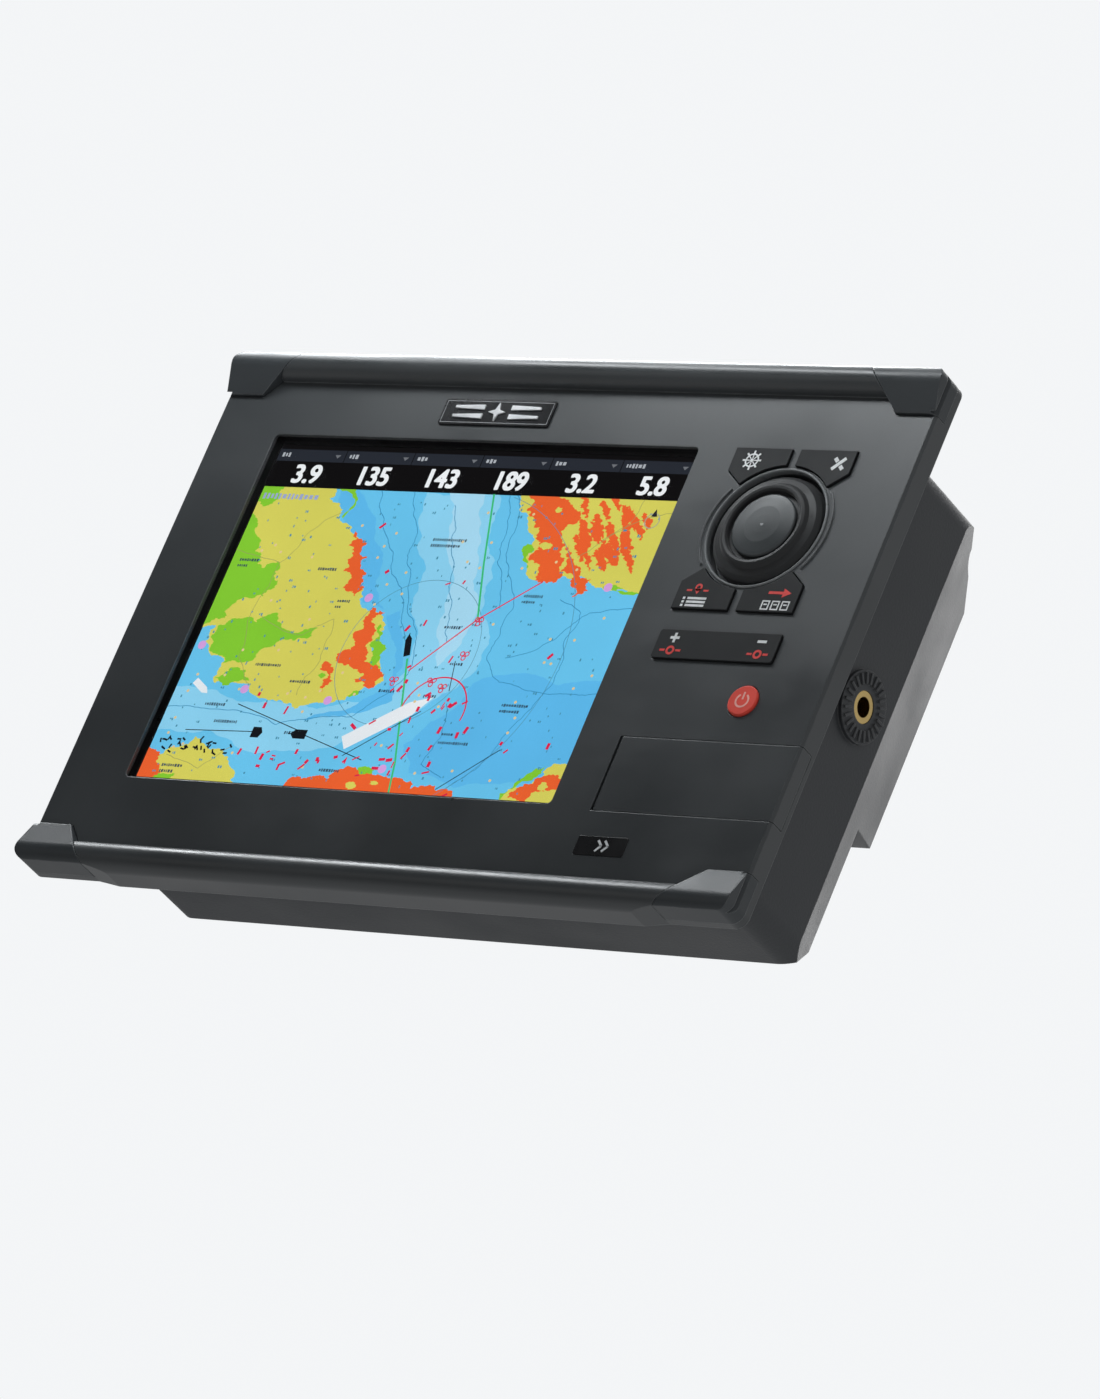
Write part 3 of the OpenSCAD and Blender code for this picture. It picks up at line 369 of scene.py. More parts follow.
FINISHES = {
    # The bezel's edges are lightened far beyond wear: a painted highlight, a light line along each edge, as
    # well as wear.
    "bezel_plastic": finish(surface, (0.046, 0.0505, 0.0535), 0.34, grain=0.00042, bump=0.2, depth=0.00002,
                            mottle=0.1, mottle_size=0.05, smudge=0.14, wear=0.75,
                            wear_colour=(0.21, 0.225, 0.23), bevel=0.0004, specular=0.55),
    # The clips' edges carry the same painted highlight as the bezel's, as well as wear.
    "clip_plastic": finish(surface, (0.041, 0.046, 0.05), 0.36, grain=0.00042, bump=0.2, depth=0.00002,
                           mottle=0.12, mottle_size=0.03, smudge=0.12, wear=0.75,
                           wear_colour=(0.22, 0.235, 0.24), bevel=0.0005, specular=0.36),
    "gasket_foam": finish(rubber, (0.018, 0.018, 0.019), 0.9, grain=0.0007, bump=0.9, depth=0.0002, bevel=0),
    "seal_rubber": finish(rubber, (0.022, 0.022, 0.023)),
    "cover_glass": cover_glass,
    "screen_picture": lambda _: screen_polariser(),
    "diffuser_plastic": finish(surface, (0.8, 0.8, 0.77), 0.35),
    "plated_steel": finish(metal, (0.58, 0.59, 0.6), 0.3),
    # The ring's edges are lightened far beyond wear: a painted highlight for the glints along its chamfers,
    # as well as wear.
    "trim_ring": finish(surface, (0.17, 0.18, 0.185), 0.27, grain=0.0003, bump=0.12, mottle=0.1, wear=0.6,
                        wear_colour=(0.42, 0.42, 0.41), coat=0.3),
    "knob_plastic": finish(surface, (0.028, 0.029, 0.03), 0.45),
    "knob_cap_plastic": finish(surface, (0.046, 0.052, 0.055), 0.38, grain=0.00035, bump=0.3, smudge=0.12,
                               wear=0.35),
    "knob_rubber": finish(rubber, (0.017, 0.018, 0.019), 0.5, sheen=0.12, mottle_size=0.006),
    "key_rubber": finish(rubber, (0.012, 0.013, 0.014), 0.55, sheen=0.03, mottle_size=0.008, specular=0.22,
                         smudge=0.1),
    "power_key_rubber": finish(rubber, (0.8, 0.055, 0.03), 0.5, sheen=0.15, mottle_size=0.004,
                               wear_colour=(0.9, 0.3, 0.25)),
    "keymat_rubber": finish(rubber, (0.28, 0.3, 0.31)),
    "circuit_board": circuit_board,
    "chip_plastic": finish(surface, (0.018, 0.018, 0.02), 0.55, grain=0.0002, bump=0.5),
    "nylon": finish(surface, (0.74, 0.72, 0.65), 0.45),
    "encoder_plastic": finish(surface, (0.04, 0.13, 0.07), 0.4),
    "card_plastic": finish(surface, (0.018, 0.055, 0.19), 0.4, grain=0.0003, bump=0.15, mottle=0.1,
                           mottle_size=0.008, wear=0.3),
    "badge_black": finish(surface, (0.016, 0.0165, 0.018), 0.2, grain=0.0002, bump=0.05, mottle=0.15,
                          smudge=0.1, coat=0.5, coat_rough=0.08),
    "badge_silver": finish(surface, (0.72, 0.73, 0.74), 0.36, metallic=0.35, grain=0.0002, bump=0.12,
                           mottle=0.06, mottle_size=0.004, bevel=0.00012, stretch=(8, 1, 1)),
    "corner_badge_black": finish(surface, (0.009, 0.009, 0.01), 0.24, grain=0.0002, bump=0.08, mottle=0.15),
    "case_paint": finish(surface, (0.034, 0.037, 0.041), 0.5, grain=0.0007, bump=0.75, depth=0.00009,
                         mottle=0.1, mottle_size=0.04, wear=0.45, wear_colour=(0.2, 0.2, 0.2), bevel=0.0006,
                         smudge=0.1),
    "bare_aluminium": finish(metal, (0.74, 0.75, 0.76), 0.34, stretch=(1, 1, 12)),
    "brass": finish(metal, (0.7, 0.5, 0.2), 0.28),
    "gold_contact": finish(metal, (0.9, 0.66, 0.25), 0.2, bevel=0.00008),
    "ribbon_film": finish(surface, (0.5, 0.23, 0.04), 0.25, grain=0.0004, stretch=(1, 9, 9)),
    "plate_plastic": finish(surface, (0.05, 0.052, 0.057), 0.5, grain=0.0005, bump=0.5, bevel=0.0004),
    "connector_plastic": finish(surface, (0.027, 0.029, 0.032), 0.42, grain=0.0003, bump=0.3, bevel=0.0002),
    "insert_plastic": finish(surface, (0.013, 0.013, 0.014), 0.5),
    "cap_rubber": finish(rubber, (0.02, 0.02, 0.021), 0.6),
    "vent_plastic": finish(surface, (0.1, 0.105, 0.11), 0.5, bump=0.4),
    "label_foil": finish(surface, (0.6, 0.61, 0.62), 0.34, metallic=0.7, grain=0.0003, bump=0.1, mottle=0.06,
                         stretch=(10, 1, 1), wear=0.2),
}


def dress_nodes():
    """Gives every CAD node the procedural finish of its slot."""
    finishes = {slot: make(slot) for slot, make in FINISHES.items()}
    for row in frame["record"]["subparts"]:
        node = frame["nodes"][row["node"]]
        node.data.materials.clear()
        node.data.materials.append(finishes[row["material_slot"]])


# ---------------------------------------------------------------- flat marks


def front_view(node):
    """A node's box as the viewer sees it: its middle in x and z, its width and its height."""
    low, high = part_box(node)
    return (low.x + high.x) / 2, (low.z + high.z) / 2, high.x - low.x, high.z - low.z


def link_piece(mesh, name, material, body):
    piece = add_object(name, mesh)
    mesh.materials.append(material)
    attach(piece, body)
    return piece


def flat_marks(name, outlines, y, material, body="chassis", thickness=0.0):
    """One piece made of flat (x, z) outlines that face the viewer at y, raised by thickness."""
    mesh = bpy.data.meshes.new(name)
    bm = bmesh.new()
    for outline in outlines:
        face = bm.faces.new([bm.verts.new((x, y, z)) for x, z in outline])
        face.normal_update()
        if face.normal.y > 0:
            face.normal_flip()
    bmesh.ops.triangulate(bm, faces=bm.faces[:])
    if thickness:
        raised = bmesh.ops.extrude_face_region(bm, geom=bm.faces[:])
        moved = [v for v in raised["geom"] if isinstance(v, bmesh.types.BMVert)]
        bmesh.ops.translate(bm, verts=moved, vec=(0, -thickness, 0))
        bmesh.ops.recalc_face_normals(bm, faces=bm.faces[:])
    bm.to_mesh(mesh)
    bm.free()
    return link_piece(mesh, name, material, body)


def disc(x, z, r, count=24):
    turns = [tau * i / count for i in range(count)]
    return [(x + r * cos(a), z + r * sin(a)) for a in turns]


def bar(x0, z0, x1, z1, width):
    """A straight stroke between two points."""
    along = Vector((x1 - x0, z1 - z0)).normalized() * width / 2
    side = Vector((-along.y, along.x))
    return [(x0 + side.x, z0 + side.y), (x1 + side.x, z1 + side.y),
            (x1 - side.x, z1 - side.y), (x0 - side.x, z0 - side.y)]


def spoke(x, z, angle, start, end, width):
    """A straight stroke along an angle, between two distances from (x, z)."""
    c, s = cos(angle), sin(angle)
    return bar(x + start * c, z + start * s, x + end * c, z + end * s, width)


def arc(x, z, r, start, end, width, count=24):
    """A curved stroke from the angle start to the angle end, in degrees."""
    angles = [radians(start + (end - start) * i / count) for i in range(count + 1)]
    outer = [(x + (r + width / 2) * cos(a), z + (r + width / 2) * sin(a)) for a in angles]
    inner = [(x + (r - width / 2) * cos(a), z + (r - width / 2) * sin(a)) for a in angles]
    return [[outer[i], outer[i + 1], inner[i + 1], inner[i]] for i in range(count)]


def rectangle(x, z, width, height):
    return [(x - width / 2, z - height / 2), (x + width / 2, z - height / 2),
            (x + width / 2, z + height / 2), (x - width / 2, z + height / 2)]


def ring(x, z, r, width, count):
    return arc(x, z, r, 0, 360, width, count)


def frame_lines(x, z, width, height, stroke):
    """Four strokes along the sides of a rectangle."""
    level = [rectangle(x, z + s * height / 2, width, stroke) for s in (-1, 1)]
    return level + [rectangle(x + s * width / 2, z, stroke, height) for s in (-1, 1)]


# ---------------------------------------------------------------- the screen's picture

GLASS_EDGE = 8.6 * MM    # how much larger the cover glass is than the lit area
HEADER = 12.6 * MM       # height of the black band of readings
MASK_INSET = 1 * MM      # how much smaller the printed mask is than the glass
MASK_GAP = 0.04 * MM     # from the mask to the CAD panel behind it
LAYER = 0.02 * MM        # distance between the picture's layers
FRONT_LAYER = 20         # the layer at the front of the CAD panel
LAYERS = {
    "screen_module": 0, "chart_water": 1, "chart_shoal_water": 2, "chart_channel": 3, "chart_deep_water": 4,
    "chart_contours": 5, "chart_fringe": 6, "chart_land": 7, "chart_woodland": 8, "chart_built_up": 9,
    "chart_islets": 10, "chart_marsh": 11, "chart_roads": 12, "chart_range_rings": 12.5,
    "chart_soundings": 13, "chart_names": 14, "chart_course": 15, "chart_bearing": 15.5, "chart_ship": 16,
    "chart_lanes": 16.5, "chart_moorings": 16.7, "chart_own_vessel": 17, "chart_pink_marks": 17.2,
    "chart_pale_marks": 17.3, "chart_red_marks": 17.5, "chart_status": 18, "chart_north_ring": 18,
    "chart_north_arrow": 18.2, "header_band": 8, "header_strips": 9, "header_labels": 10,
    "header_arrows": 10, "readings": 10,
}
READINGS = ["3.9", "135", "143", "189", "3.2", "5.8"]
LABEL_DASHES = [3, 3, 3, 3, 3, 6]  # strokes in each reading's label
LABEL_HEIGHT = 1.25 * MM
READING_HEIGHT = 5.2 * MM
READING_DROP = 8.6 * MM  # from the top of the lit area to the middle of the readings
DIGIT = 2.95             # width in mm of a reading's digits
NARROW_DIGIT = 2.75      # the same, in a reading with a point
WATER = (0.145, 0.565, 0.87)
CHART_SEED = 41
SOUNDINGS = 330
STREAKS = 34             # long red patches in the north-east
MOORINGS = 34
HARBOUR_TICKS = 26
SHORE_TICKS = 22
PALE_DOTS = 64
NAME_HEIGHT = 0.85 * MM
NAME_LINE = 1.7 * MM     # from one line of a name to the next


class Screen:
    """The lit area: its edges, and places on its chart as fractions of the chart's width and height."""

    def __init__(self):
        low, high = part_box("cover_glass")
        panel_low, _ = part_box("lcd_panel")
        self.left, self.right = low.x + GLASS_EDGE / 2, high.x - GLASS_EDGE / 2
        self.low, self.top = low.z + GLASS_EDGE / 2, high.z - GLASS_EDGE / 2
        self.front = panel_low.y
        self.chart_top = self.top - HEADER
        self.width, self.height = self.right - self.left, self.chart_top - self.low

    def at(self, u, v):
        return (self.left + u * self.width, self.low + v * self.height)

    def layer(self, name):
        """The y of a layer; the lowest number is the furthest from the viewer."""
        return self.front + (FRONT_LAYER - LAYERS[name]) * LAYER

    def show(self, name, outlines, ink):
        """A piece of the picture, on its own layer; ink is a material, or a colour of the piece's own."""
        material = lit(name, ink) if isinstance(ink, tuple) else ink
        flat_marks(name, outlines, self.layer(name), material)


def ragged(points, rounds, roughness, rng, closed=True):
    """Coastline detail: each side is split at its middle, which moves sideways by a random share."""
    for _ in range(rounds):
        result = []
        count = len(points) if closed else len(points) - 1
        for i in range(count):
            a, b = Vector(points[i]), Vector(points[(i + 1) % len(points)])
            side = Vector((a.y - b.y, b.x - a.x)) * rng.uniform(-roughness, roughness)
            result += [tuple(a), tuple((a + b) / 2 + side)]
        if not closed:
            result.append(points[-1])
        points = result
    return points


def clipped(points):
    """Keeps a shape's points on the chart."""
    return [(min(max(u, 0.0), 1.0), min(max(v, 0.0), 1.0)) for u, v in points]


def land(screen, name, shapes, ink, rng, rounds, roughness=0.0):
    """Patches of one colour with ragged edges."""
    coasts = [clipped(ragged(shape, rounds, roughness, rng)) for shape in shapes]
    screen.show(name, [[screen.at(u, v) for u, v in coast] for coast in coasts], ink)


def blob(u, v, size, rng, stretch=1.0, lean=0.0, count=7):
    """A small uneven patch, drawn out by stretch along the direction lean."""
    points = []
    for i in range(count):
        a = tau * i / count
        r = size * rng.uniform(0.7, 1.25)
        x, z = r * cos(a) * stretch, r * sin(a)
        points.append((u + x * cos(lean) - z * sin(lean),
                       v + x * sin(lean) + z * cos(lean)))
    return points


def water_and_depths(screen, rng):
    whole = [(0, 0), (1, 0), (1, 1), (0, 1)]
    land(screen, "chart_water", [whole], WATER, rng, rounds=0)
    pale = [[(0.40, 1), (0.575, 1), (0.63, 0.78), (0.685, 0.55), (0.67, 0.36), (0.56, 0.24), (0.44, 0.14),
             (0.26, 0.1), (0.12, 0.17), (0, 0.16), (0, 0.31), (0.2, 0.27), (0.36, 0.26), (0.5, 0.3),
             (0.535, 0.42), (0.48, 0.62), (0.44, 0.8)]]
    land(screen, "chart_shoal_water", pale, (0.27, 0.66, 0.9), rng, 4, 0.12)
    paler = [[(0.455, 1), (0.54, 1), (0.6, 0.74), (0.635, 0.5), (0.6, 0.42), (0.565, 0.6), (0.5, 0.82)]]
    land(screen, "chart_channel", paler, (0.40, 0.72, 0.91), rng, 4, 0.1)
    deep = [[(0.7, 0.37), (0.78, 0.41), (0.9, 0.38), (1, 0.4), (1, 0.12), (0.92, 0.06), (0.76, 0.03),
             (0.64, 0.07), (0.6, 0.16), (0.64, 0.24), (0.69, 0.3)],
            [(0.19, 1), (0.235, 1), (0.32, 0.84), (0.37, 0.69), (0.42, 0.6), (0.36, 0.62), (0.3, 0.76)],
            [(0.43, 0.58), (0.49, 0.46), (0.51, 0.34), (0.44, 0.27), (0.34, 0.22), (0.42, 0.24), (0.53, 0.3),
             (0.52, 0.42), (0.46, 0.6)]]
    land(screen, "chart_deep_water", deep, (0.115, 0.50, 0.86), rng, 4, 0.12)


def drying_and_land(screen, rng):
    yellow = lit("chart_land", (0.70, 0.655, 0.115))
    green = lit("chart_foreshore", (0.235, 0.60, 0.035))
    red = lit("chart_built_up", (0.86, 0.125, 0.03))
    west = [(-0.1, 1.1), (0.17, 1.02), (0.215, 0.93), (0.265, 0.85), (0.3, 0.77), (0.335, 0.68), (0.36, 0.61),
            (0.42, 0.58), (0.435, 0.5), (0.465, 0.42), (0.475, 0.345), (0.43, 0.325), (0.385, 0.28),
            (0.31, 0.255), (0.22, 0.285), (0.17, 0.33), (0.09, 0.325), (0.09, 0.4), (0.035, 0.45),
            (0.03, 0.52), (-0.1, 0.53)]
    east = [(0.645, 1.1), (1.1, 1.1), (1.1, 0.73), (0.96, 0.7), (0.88, 0.71), (0.8, 0.735), (0.75, 0.72),
            (0.71, 0.78), (0.695, 0.87), (0.66, 0.94)]
    south_west = [(-0.1, 0.115), (0.05, 0.105), (0.1, 0.145), (0.15, 0.105), (0.2, 0.085), (0.235, 0.03),
                  (0.245, -0.1), (-0.1, -0.1)]
    south_east = [(0.86, -0.1), (0.88, 0.02), (0.93, 0.05), (0.95, 0.105), (1.1, 0.1), (1.1, -0.1)]
    land(screen, "chart_land", [west, east, south_west, south_east], yellow, rng, 6, 0.24)
    fringe = [[(0.17, 1.02), (0.19, 1.02), (0.235, 0.93), (0.225, 0.9)],
              [(0.69, 0.84), (0.715, 0.84), (0.735, 0.75), (0.71, 0.76)],
              [(0.93, 0.71), (1.05, 0.74), (1.05, 0.71), (0.96, 0.685)],
              [(0.39, 0.335), (0.45, 0.345), (0.44, 0.31), (0.395, 0.3)],
              [(0.845, -0.05), (0.93, 0.07), (0.95, 0.12), (0.9, -0.05)]]
    land(screen, "chart_fringe", fringe, green, rng, 4, 0.25)
    patches = [[(-0.1, 0.9), (0.02, 0.875), (0.045, 0.82), (0.065, 0.735), (0.085, 0.72), (0.115, 0.745),
                (0.135, 0.68), (0.115, 0.625), (0.06, 0.61), (0.045, 0.545), (-0.1, 0.51)],
               [(0.035, 0.475), (0.075, 0.545), (0.17, 0.57), (0.2, 0.52), (0.28, 0.53), (0.265, 0.49),
                (0.2, 0.475), (0.16, 0.425), (0.09, 0.395), (0.05, 0.43)],
               [(0.085, 0.345), (0.15, 0.375), (0.17, 0.34), (0.11, 0.32)],
               [(0.425, 0.55), (0.465, 0.47), (0.47, 0.405), (0.435, 0.42), (0.42, 0.48)],
               [(-0.05, 1.05), (0.04, 1.05), (0.05, 0.96), (0.02, 0.93), (-0.05, 0.95)],
               [(0.02, 0.02), (0.09, 0.02), (0.07, -0.05), (0.0, -0.05)]]
    land(screen, "chart_woodland", patches, green, rng, 6, 0.28)
    built = [[(0.27, 0.86), (0.305, 0.81), (0.325, 0.73), (0.35, 0.67), (0.335, 0.64), (0.305, 0.69),
              (0.28, 0.76)],
             [(0.39, 0.605), (0.425, 0.59), (0.42, 0.52), (0.44, 0.42), (0.48, 0.39), (0.475, 0.34),
              (0.42, 0.365), (0.365, 0.415), (0.385, 0.48)],
             [(0.33, 0.415), (0.355, 0.4), (0.365, 0.34), (0.355, 0.315)],
             [(0.645, 1.05), (0.735, 1.05), (0.765, 0.96), (0.765, 0.86), (0.79, 0.77), (0.775, 0.71),
              (0.74, 0.73), (0.705, 0.79), (0.695, 0.87), (0.655, 0.95)],
             [(0.81, 0.8), (0.835, 0.77), (0.865, 0.68), (0.845, 0.67), (0.825, 0.72)],
             [(0.36, -0.05), (0.39, 0.035), (0.46, 0.035), (0.49, 0.08), (0.55, 0.065), (0.63, 0.05),
              (0.7, 0.035), (0.75, 0.02), (0.78, -0.05)],
             [(-0.05, 0.09), (0.03, 0.07), (0.055, 0.02), (0.02, -0.05), (-0.05, -0.05)],
             [(0.89, 0.01), (0.94, 0.08), (1.05, 0.11), (1.05, 0.04), (0.97, 0.04), (0.93, -0.01)]]
    streaks = [blob(0.785 + 0.17 * rng.random(), 0.79 + 0.2 * rng.random(), 0.0085, rng, stretch=4.6,
                    lean=-1.15, count=10) for _ in range(STREAKS)]
    land(screen, "chart_built_up", built + streaks, red, rng, 5, 0.34)
    islets = [blob(0.735, 0.835, 0.014, rng), blob(0.73, 0.955, 0.01, rng), blob(0.52, 0.015, 0.013, rng),
              blob(0.57, 0.03, 0.009, rng), blob(0.405, 0.385, 0.02, rng, 1.5), blob(0.96, 0.05, 0.014, rng)]
    land(screen, "chart_islets", islets, yellow, rng, 3, 0.3)
    marsh = [blob(0.54, 0.07, 0.013, rng, 1.8), blob(0.925, 0.705, 0.012, rng, 2),
             blob(0.34, 0.37, 0.008, rng, 1, 1)]
    land(screen, "chart_marsh", marsh, green, rng, 3, 0.25)


def line_marks(screen, paths, width):
    """Strokes of the given width in metres along paths of chart fractions."""
    marks = []
    for path in paths:
        spots = [screen.at(*p) for p in path]
        marks += [bar(*a, *b, width) for a, b in zip(spots, spots[1:]) if a != b]
    return marks


def depth_contours(screen, rng):
    paths = [[(0.29, 1.0), (0.34, 0.86), (0.4, 0.72), (0.46, 0.62), (0.5, 0.5)],
             [(0.37, 1.0), (0.42, 0.84), (0.45, 0.7), (0.52, 0.52), (0.53, 0.36), (0.45, 0.24), (0.28, 0.2),
              (0.12, 0.24), (0.0, 0.24)],
             [(0.62, 1.0), (0.65, 0.8), (0.72, 0.62), (0.71, 0.45), (0.76, 0.38), (0.88, 0.35), (1.0, 0.36)],
             [(0.6, 1.0), (0.63, 0.86), (0.67, 0.7), (0.69, 0.62)],
             [(0.75, 0.46), (0.82, 0.5), (0.86, 0.56), (0.9, 0.62), (1.0, 0.64)],
             [(0.82, 0.66), (0.88, 0.62), (0.885, 0.45), (0.86, 0.3), (0.8, 0.12), (0.74, 0.02)],
             [(0.66, 0.3), (0.68, 0.2), (0.66, 0.1), (0.72, 0.06)],
             [(0.48, 0.96), (0.52, 0.8), (0.57, 0.64), (0.6, 0.5)]]
    coasts = [clipped(ragged(path, 4, 0.09, rng, closed=False)) for path in paths]
    screen.show("chart_contours", line_marks(screen, coasts, 0.2 * MM), (0.04, 0.27, 0.52))


def chart_roads(screen, rng):
    paths = [[(0.0, 0.78), (0.12, 0.74), (0.16, 0.85), (0.22, 0.92)],
             [(0.12, 0.74), (0.12, 0.42), (0.17, 0.33)],
             [(0.13, 0.56), (0.25, 0.5), (0.31, 0.56), (0.32, 0.42), (0.3, 0.3)],
             [(0.86, 0.86), (0.93, 0.93), (1.0, 0.96)], [(0.82, 0.8), (0.9, 0.9), (0.92, 1.0)],
             [(0.2, 0.12), (0.14, 0.04), (0.05, 0.08)]]
    roads = [clipped(ragged(path, 3, 0.08, rng, closed=False)) for path in paths]
    screen.show("chart_roads", line_marks(screen, roads, 0.15 * MM), (0.33, 0.33, 0.12))


def dash_rows(x, z, count, rng, height):
    """A row of short strokes where a chart has a name, too small to be read."""
    marks = []
    for _ in range(count):
        w = rng.uniform(0.35, 0.75) * height
        marks.append(rectangle(x + w / 2, z, w, height * rng.choice((0.75, 1.0))))
        x += w + 0.3 * height
    return marks


def soundings(screen, rng):
    """Depth flecks over the water, and blocks of dashes in place of names."""
    marks = []
    for _ in range(SOUNDINGS):
        u, v = rng.uniform(0.02, 0.97), rng.uniform(0.02, 0.97)
        x, z = screen.at(u, v)
        marks += dash_rows(x, z, rng.choice((1, 1, 2)), rng, rng.uniform(0.5, 0.8) * MM)
    screen.show("chart_soundings", marks, (0.06, 0.27, 0.42))
    places = ((0.465, 0.84, 16, 2), (0.735, 0.665, 9, 2), (0.79, 0.305, 11, 2), (0.68, 0.2, 5, 1),
              (0.68, 0.172, 14, 1), (0.09, 0.255, 9, 1), (0.13, 0.2, 11, 1), (0.02, 0.745, 8, 2),
              (0.22, 0.725, 8, 1), (0.3, 0.62, 6, 2), (0.17, 0.395, 12, 1), (0.27, 0.345, 9, 1),
              (0.31, 0.175, 9, 1), (0.05, 0.045, 9, 2), (0.58, 0.55, 7, 1), (0.63, 0.43, 6, 1),
              (0.6, 0.32, 6, 1), (0.49, 0.33, 7, 1), (0.43, 0.06, 9, 1))
    names = []
    for u, v, dashes, lines in places:
        x, z = screen.at(u, v)
        for line in range(lines):
            names += dash_rows(x, z - line * NAME_LINE, dashes - 3 * line, rng, NAME_HEIGHT)
    screen.show("chart_names", names, (0.03, 0.06, 0.1))


def vessel(screen, u, v, length, width, angle):
    """A pointed hull seen from above."""
    x, z = screen.at(u, v)
    along = Vector((cos(angle), sin(angle)))
    side = Vector((-along.y, along.x)) * width / 2
    middle = Vector((x, z))
    nose, stern = middle + along * length / 2, middle - along * length / 2
    shoulder = middle + along * length / 4
    return [tuple(nose), tuple(shoulder + side), tuple(stern + side), tuple(stern - side),
            tuple(shoulder - side)]


def routes_and_marks(screen, rng):
    black = lit("chart_ink", (0.012, 0.014, 0.02), 0.6)
    red = lit("chart_red_ink", (0.75, 0.02, 0.07))
    centre = screen.at(0.52, 0.46)
    rings = []
    for radius, start, end in ((0.16, 0, 360), (0.36, -60, 75)):
        rings += arc(*centre, radius * screen.width, start, end, 0.14 * MM, 60)
    screen.show("chart_range_rings", rings, lit("chart_ring_ink", (0.08, 0.24, 0.36)))
    course = [[(0.563, 1.0), (0.61, 0.76), (0.65, 0.58)],
              [(0.525, 0.44), (0.56, 0.28), (0.6, 0.1), (0.615, 0.0)]]
    screen.show("chart_course", line_marks(screen, course, 0.55 * MM),
                lit("chart_course_ink", (0.05, 0.53, 0.19)))
    bearing = [[(0.54, 0.4), (0.65, 0.58)], [(0.65, 0.58), (0.765, 0.715)]]
    arc_x, arc_z = screen.at(0.635, 0.27)
    lines = line_marks(screen, bearing, 0.38 * MM) + arc(arc_x, arc_z, 9.8 * MM, -12, 195, 0.4 * MM, 40)
    screen.show("chart_bearing", lines, red)
    ships = [vessel(screen, 0.542, 0.235, 26 * MM, 4.2 * MM, radians(33)),
             vessel(screen, 0.063, 0.31, 6.5 * MM, 1.9 * MM, radians(-32))]
    screen.show("chart_ship", ships, lit("chart_ship_ink", (0.82, 0.86, 0.9)))
    own = vessel(screen, 0.513, 0.485, 6.6 * MM, 1.9 * MM, radians(108))
    screen.show("chart_own_vessel", [own], black)
    lanes = [[(0.07, 0.165), (0.25, 0.172)], [(0.32, 0.172), (0.36, 0.17), (0.52, 0.1)],
             [(0.47, 0.11), (0.61, 0.27)], [(0.655, 0.34), (0.64, 0.44)], [(0.17, 0.26), (0.35, 0.18)],
             [(0.72, 0.02), (0.83, 0.16)]]
    arrows = [vessel(screen, 0.245, 0.17, 3.4 * MM, 3 * MM, 0),
              vessel(screen, 0.345, 0.172, 5 * MM, 2.6 * MM, pi)]
    screen.show("chart_lanes", line_marks(screen, lanes, 0.24 * MM) + arrows, black)
    moorings = []
    for _ in range(MOORINGS):
        u, v = rng.uniform(0.01, 0.2), rng.uniform(0.085, 0.135)
        x, z = screen.at(u, v)
        moorings.append(spoke(x, z, rng.uniform(0, tau), 0, 1.3 * MM, 0.5 * MM))
    screen.show("chart_moorings", moorings, black)


def buoys(screen, rng):
    red, pink, pale = [], [], []
    ticks = ((0.325, 0.87, 0.8), (0.385, 0.72, 0.7), (0.54, 0.69, 0.4), (0.46, 0.215, -0.6),
             (0.55, 0.205, 0), (0.56, 0.105, 0.1), (0.635, 0.265, 0.9), (0.825, 0.175, 1.2),
             (0.84, 0.15, 0.8), (0.58, 0.695, 1.2),
             (0.53, 0.55, 1.4), (0.67, 0.2, 1.4), (0.42, 0.08, 1.5), (0.68, 0.09, 1.5), (0.935, 0.17, 1.5),
             (0.33, 0.05, 1.5), (0.28, 0.08, 1.4), (0.235, 0.25, 1.5), (0.21, 0.29, 1.4), (0.29, 0.235, 1.4))
    harbour = [(rng.gauss(0.6, 0.075), rng.gauss(0.33, 0.12), rng.uniform(0.5, 1.6))
               for _ in range(HARBOUR_TICKS)]
    shore = [(rng.uniform(0.22, 0.72), rng.gauss(0.075, 0.02), rng.uniform(-0.2, 1.6))
             for _ in range(SHORE_TICKS)]
    for u, v, lean in (*ticks, *harbour, *shore):
        x, z = screen.at(u, v)
        long, wide = rng.uniform(1.0, 2.3) * MM, rng.uniform(0.35, 0.95) * MM
        red.append(spoke(x, z, lean, 0, long, wide))
    for u, v in ((0.655, 0.575), (0.655, 0.46), (0.635, 0.35), (0.605, 0.368), (0.515, 0.365)):
        x, z = screen.at(u, v)
        for a in range(3):
            turn = tau * (a + 0.25) / 3
            red += ring(x + 0.8 * MM * cos(turn), z + 0.8 * MM * sin(turn), 0.6 * MM, 0.3 * MM, 12)
    for u, v in ((0.372, 0.635), (0.38, 0.288), (0.577, 0.075), (0.92, 0.705), (0.17, 0.31), (0.02, 0.45)):
        pink.append(disc(*screen.at(u, v), 1.25 * MM, 16))
    for _ in range(PALE_DOTS):
        pale.append(disc(*screen.at(rng.uniform(0.03, 0.97), rng.uniform(0.05, 0.95)), 0.42 * MM, 10))
    screen.show("chart_red_marks", red, lit("chart_mark_red", (0.72, 0.015, 0.07)))
    screen.show("chart_pink_marks", pink, lit("chart_mark_pink", (0.68, 0.36, 0.75)))
    screen.show("chart_pale_marks", pale, lit("chart_mark_pale", (0.78, 0.6, 0.3)))


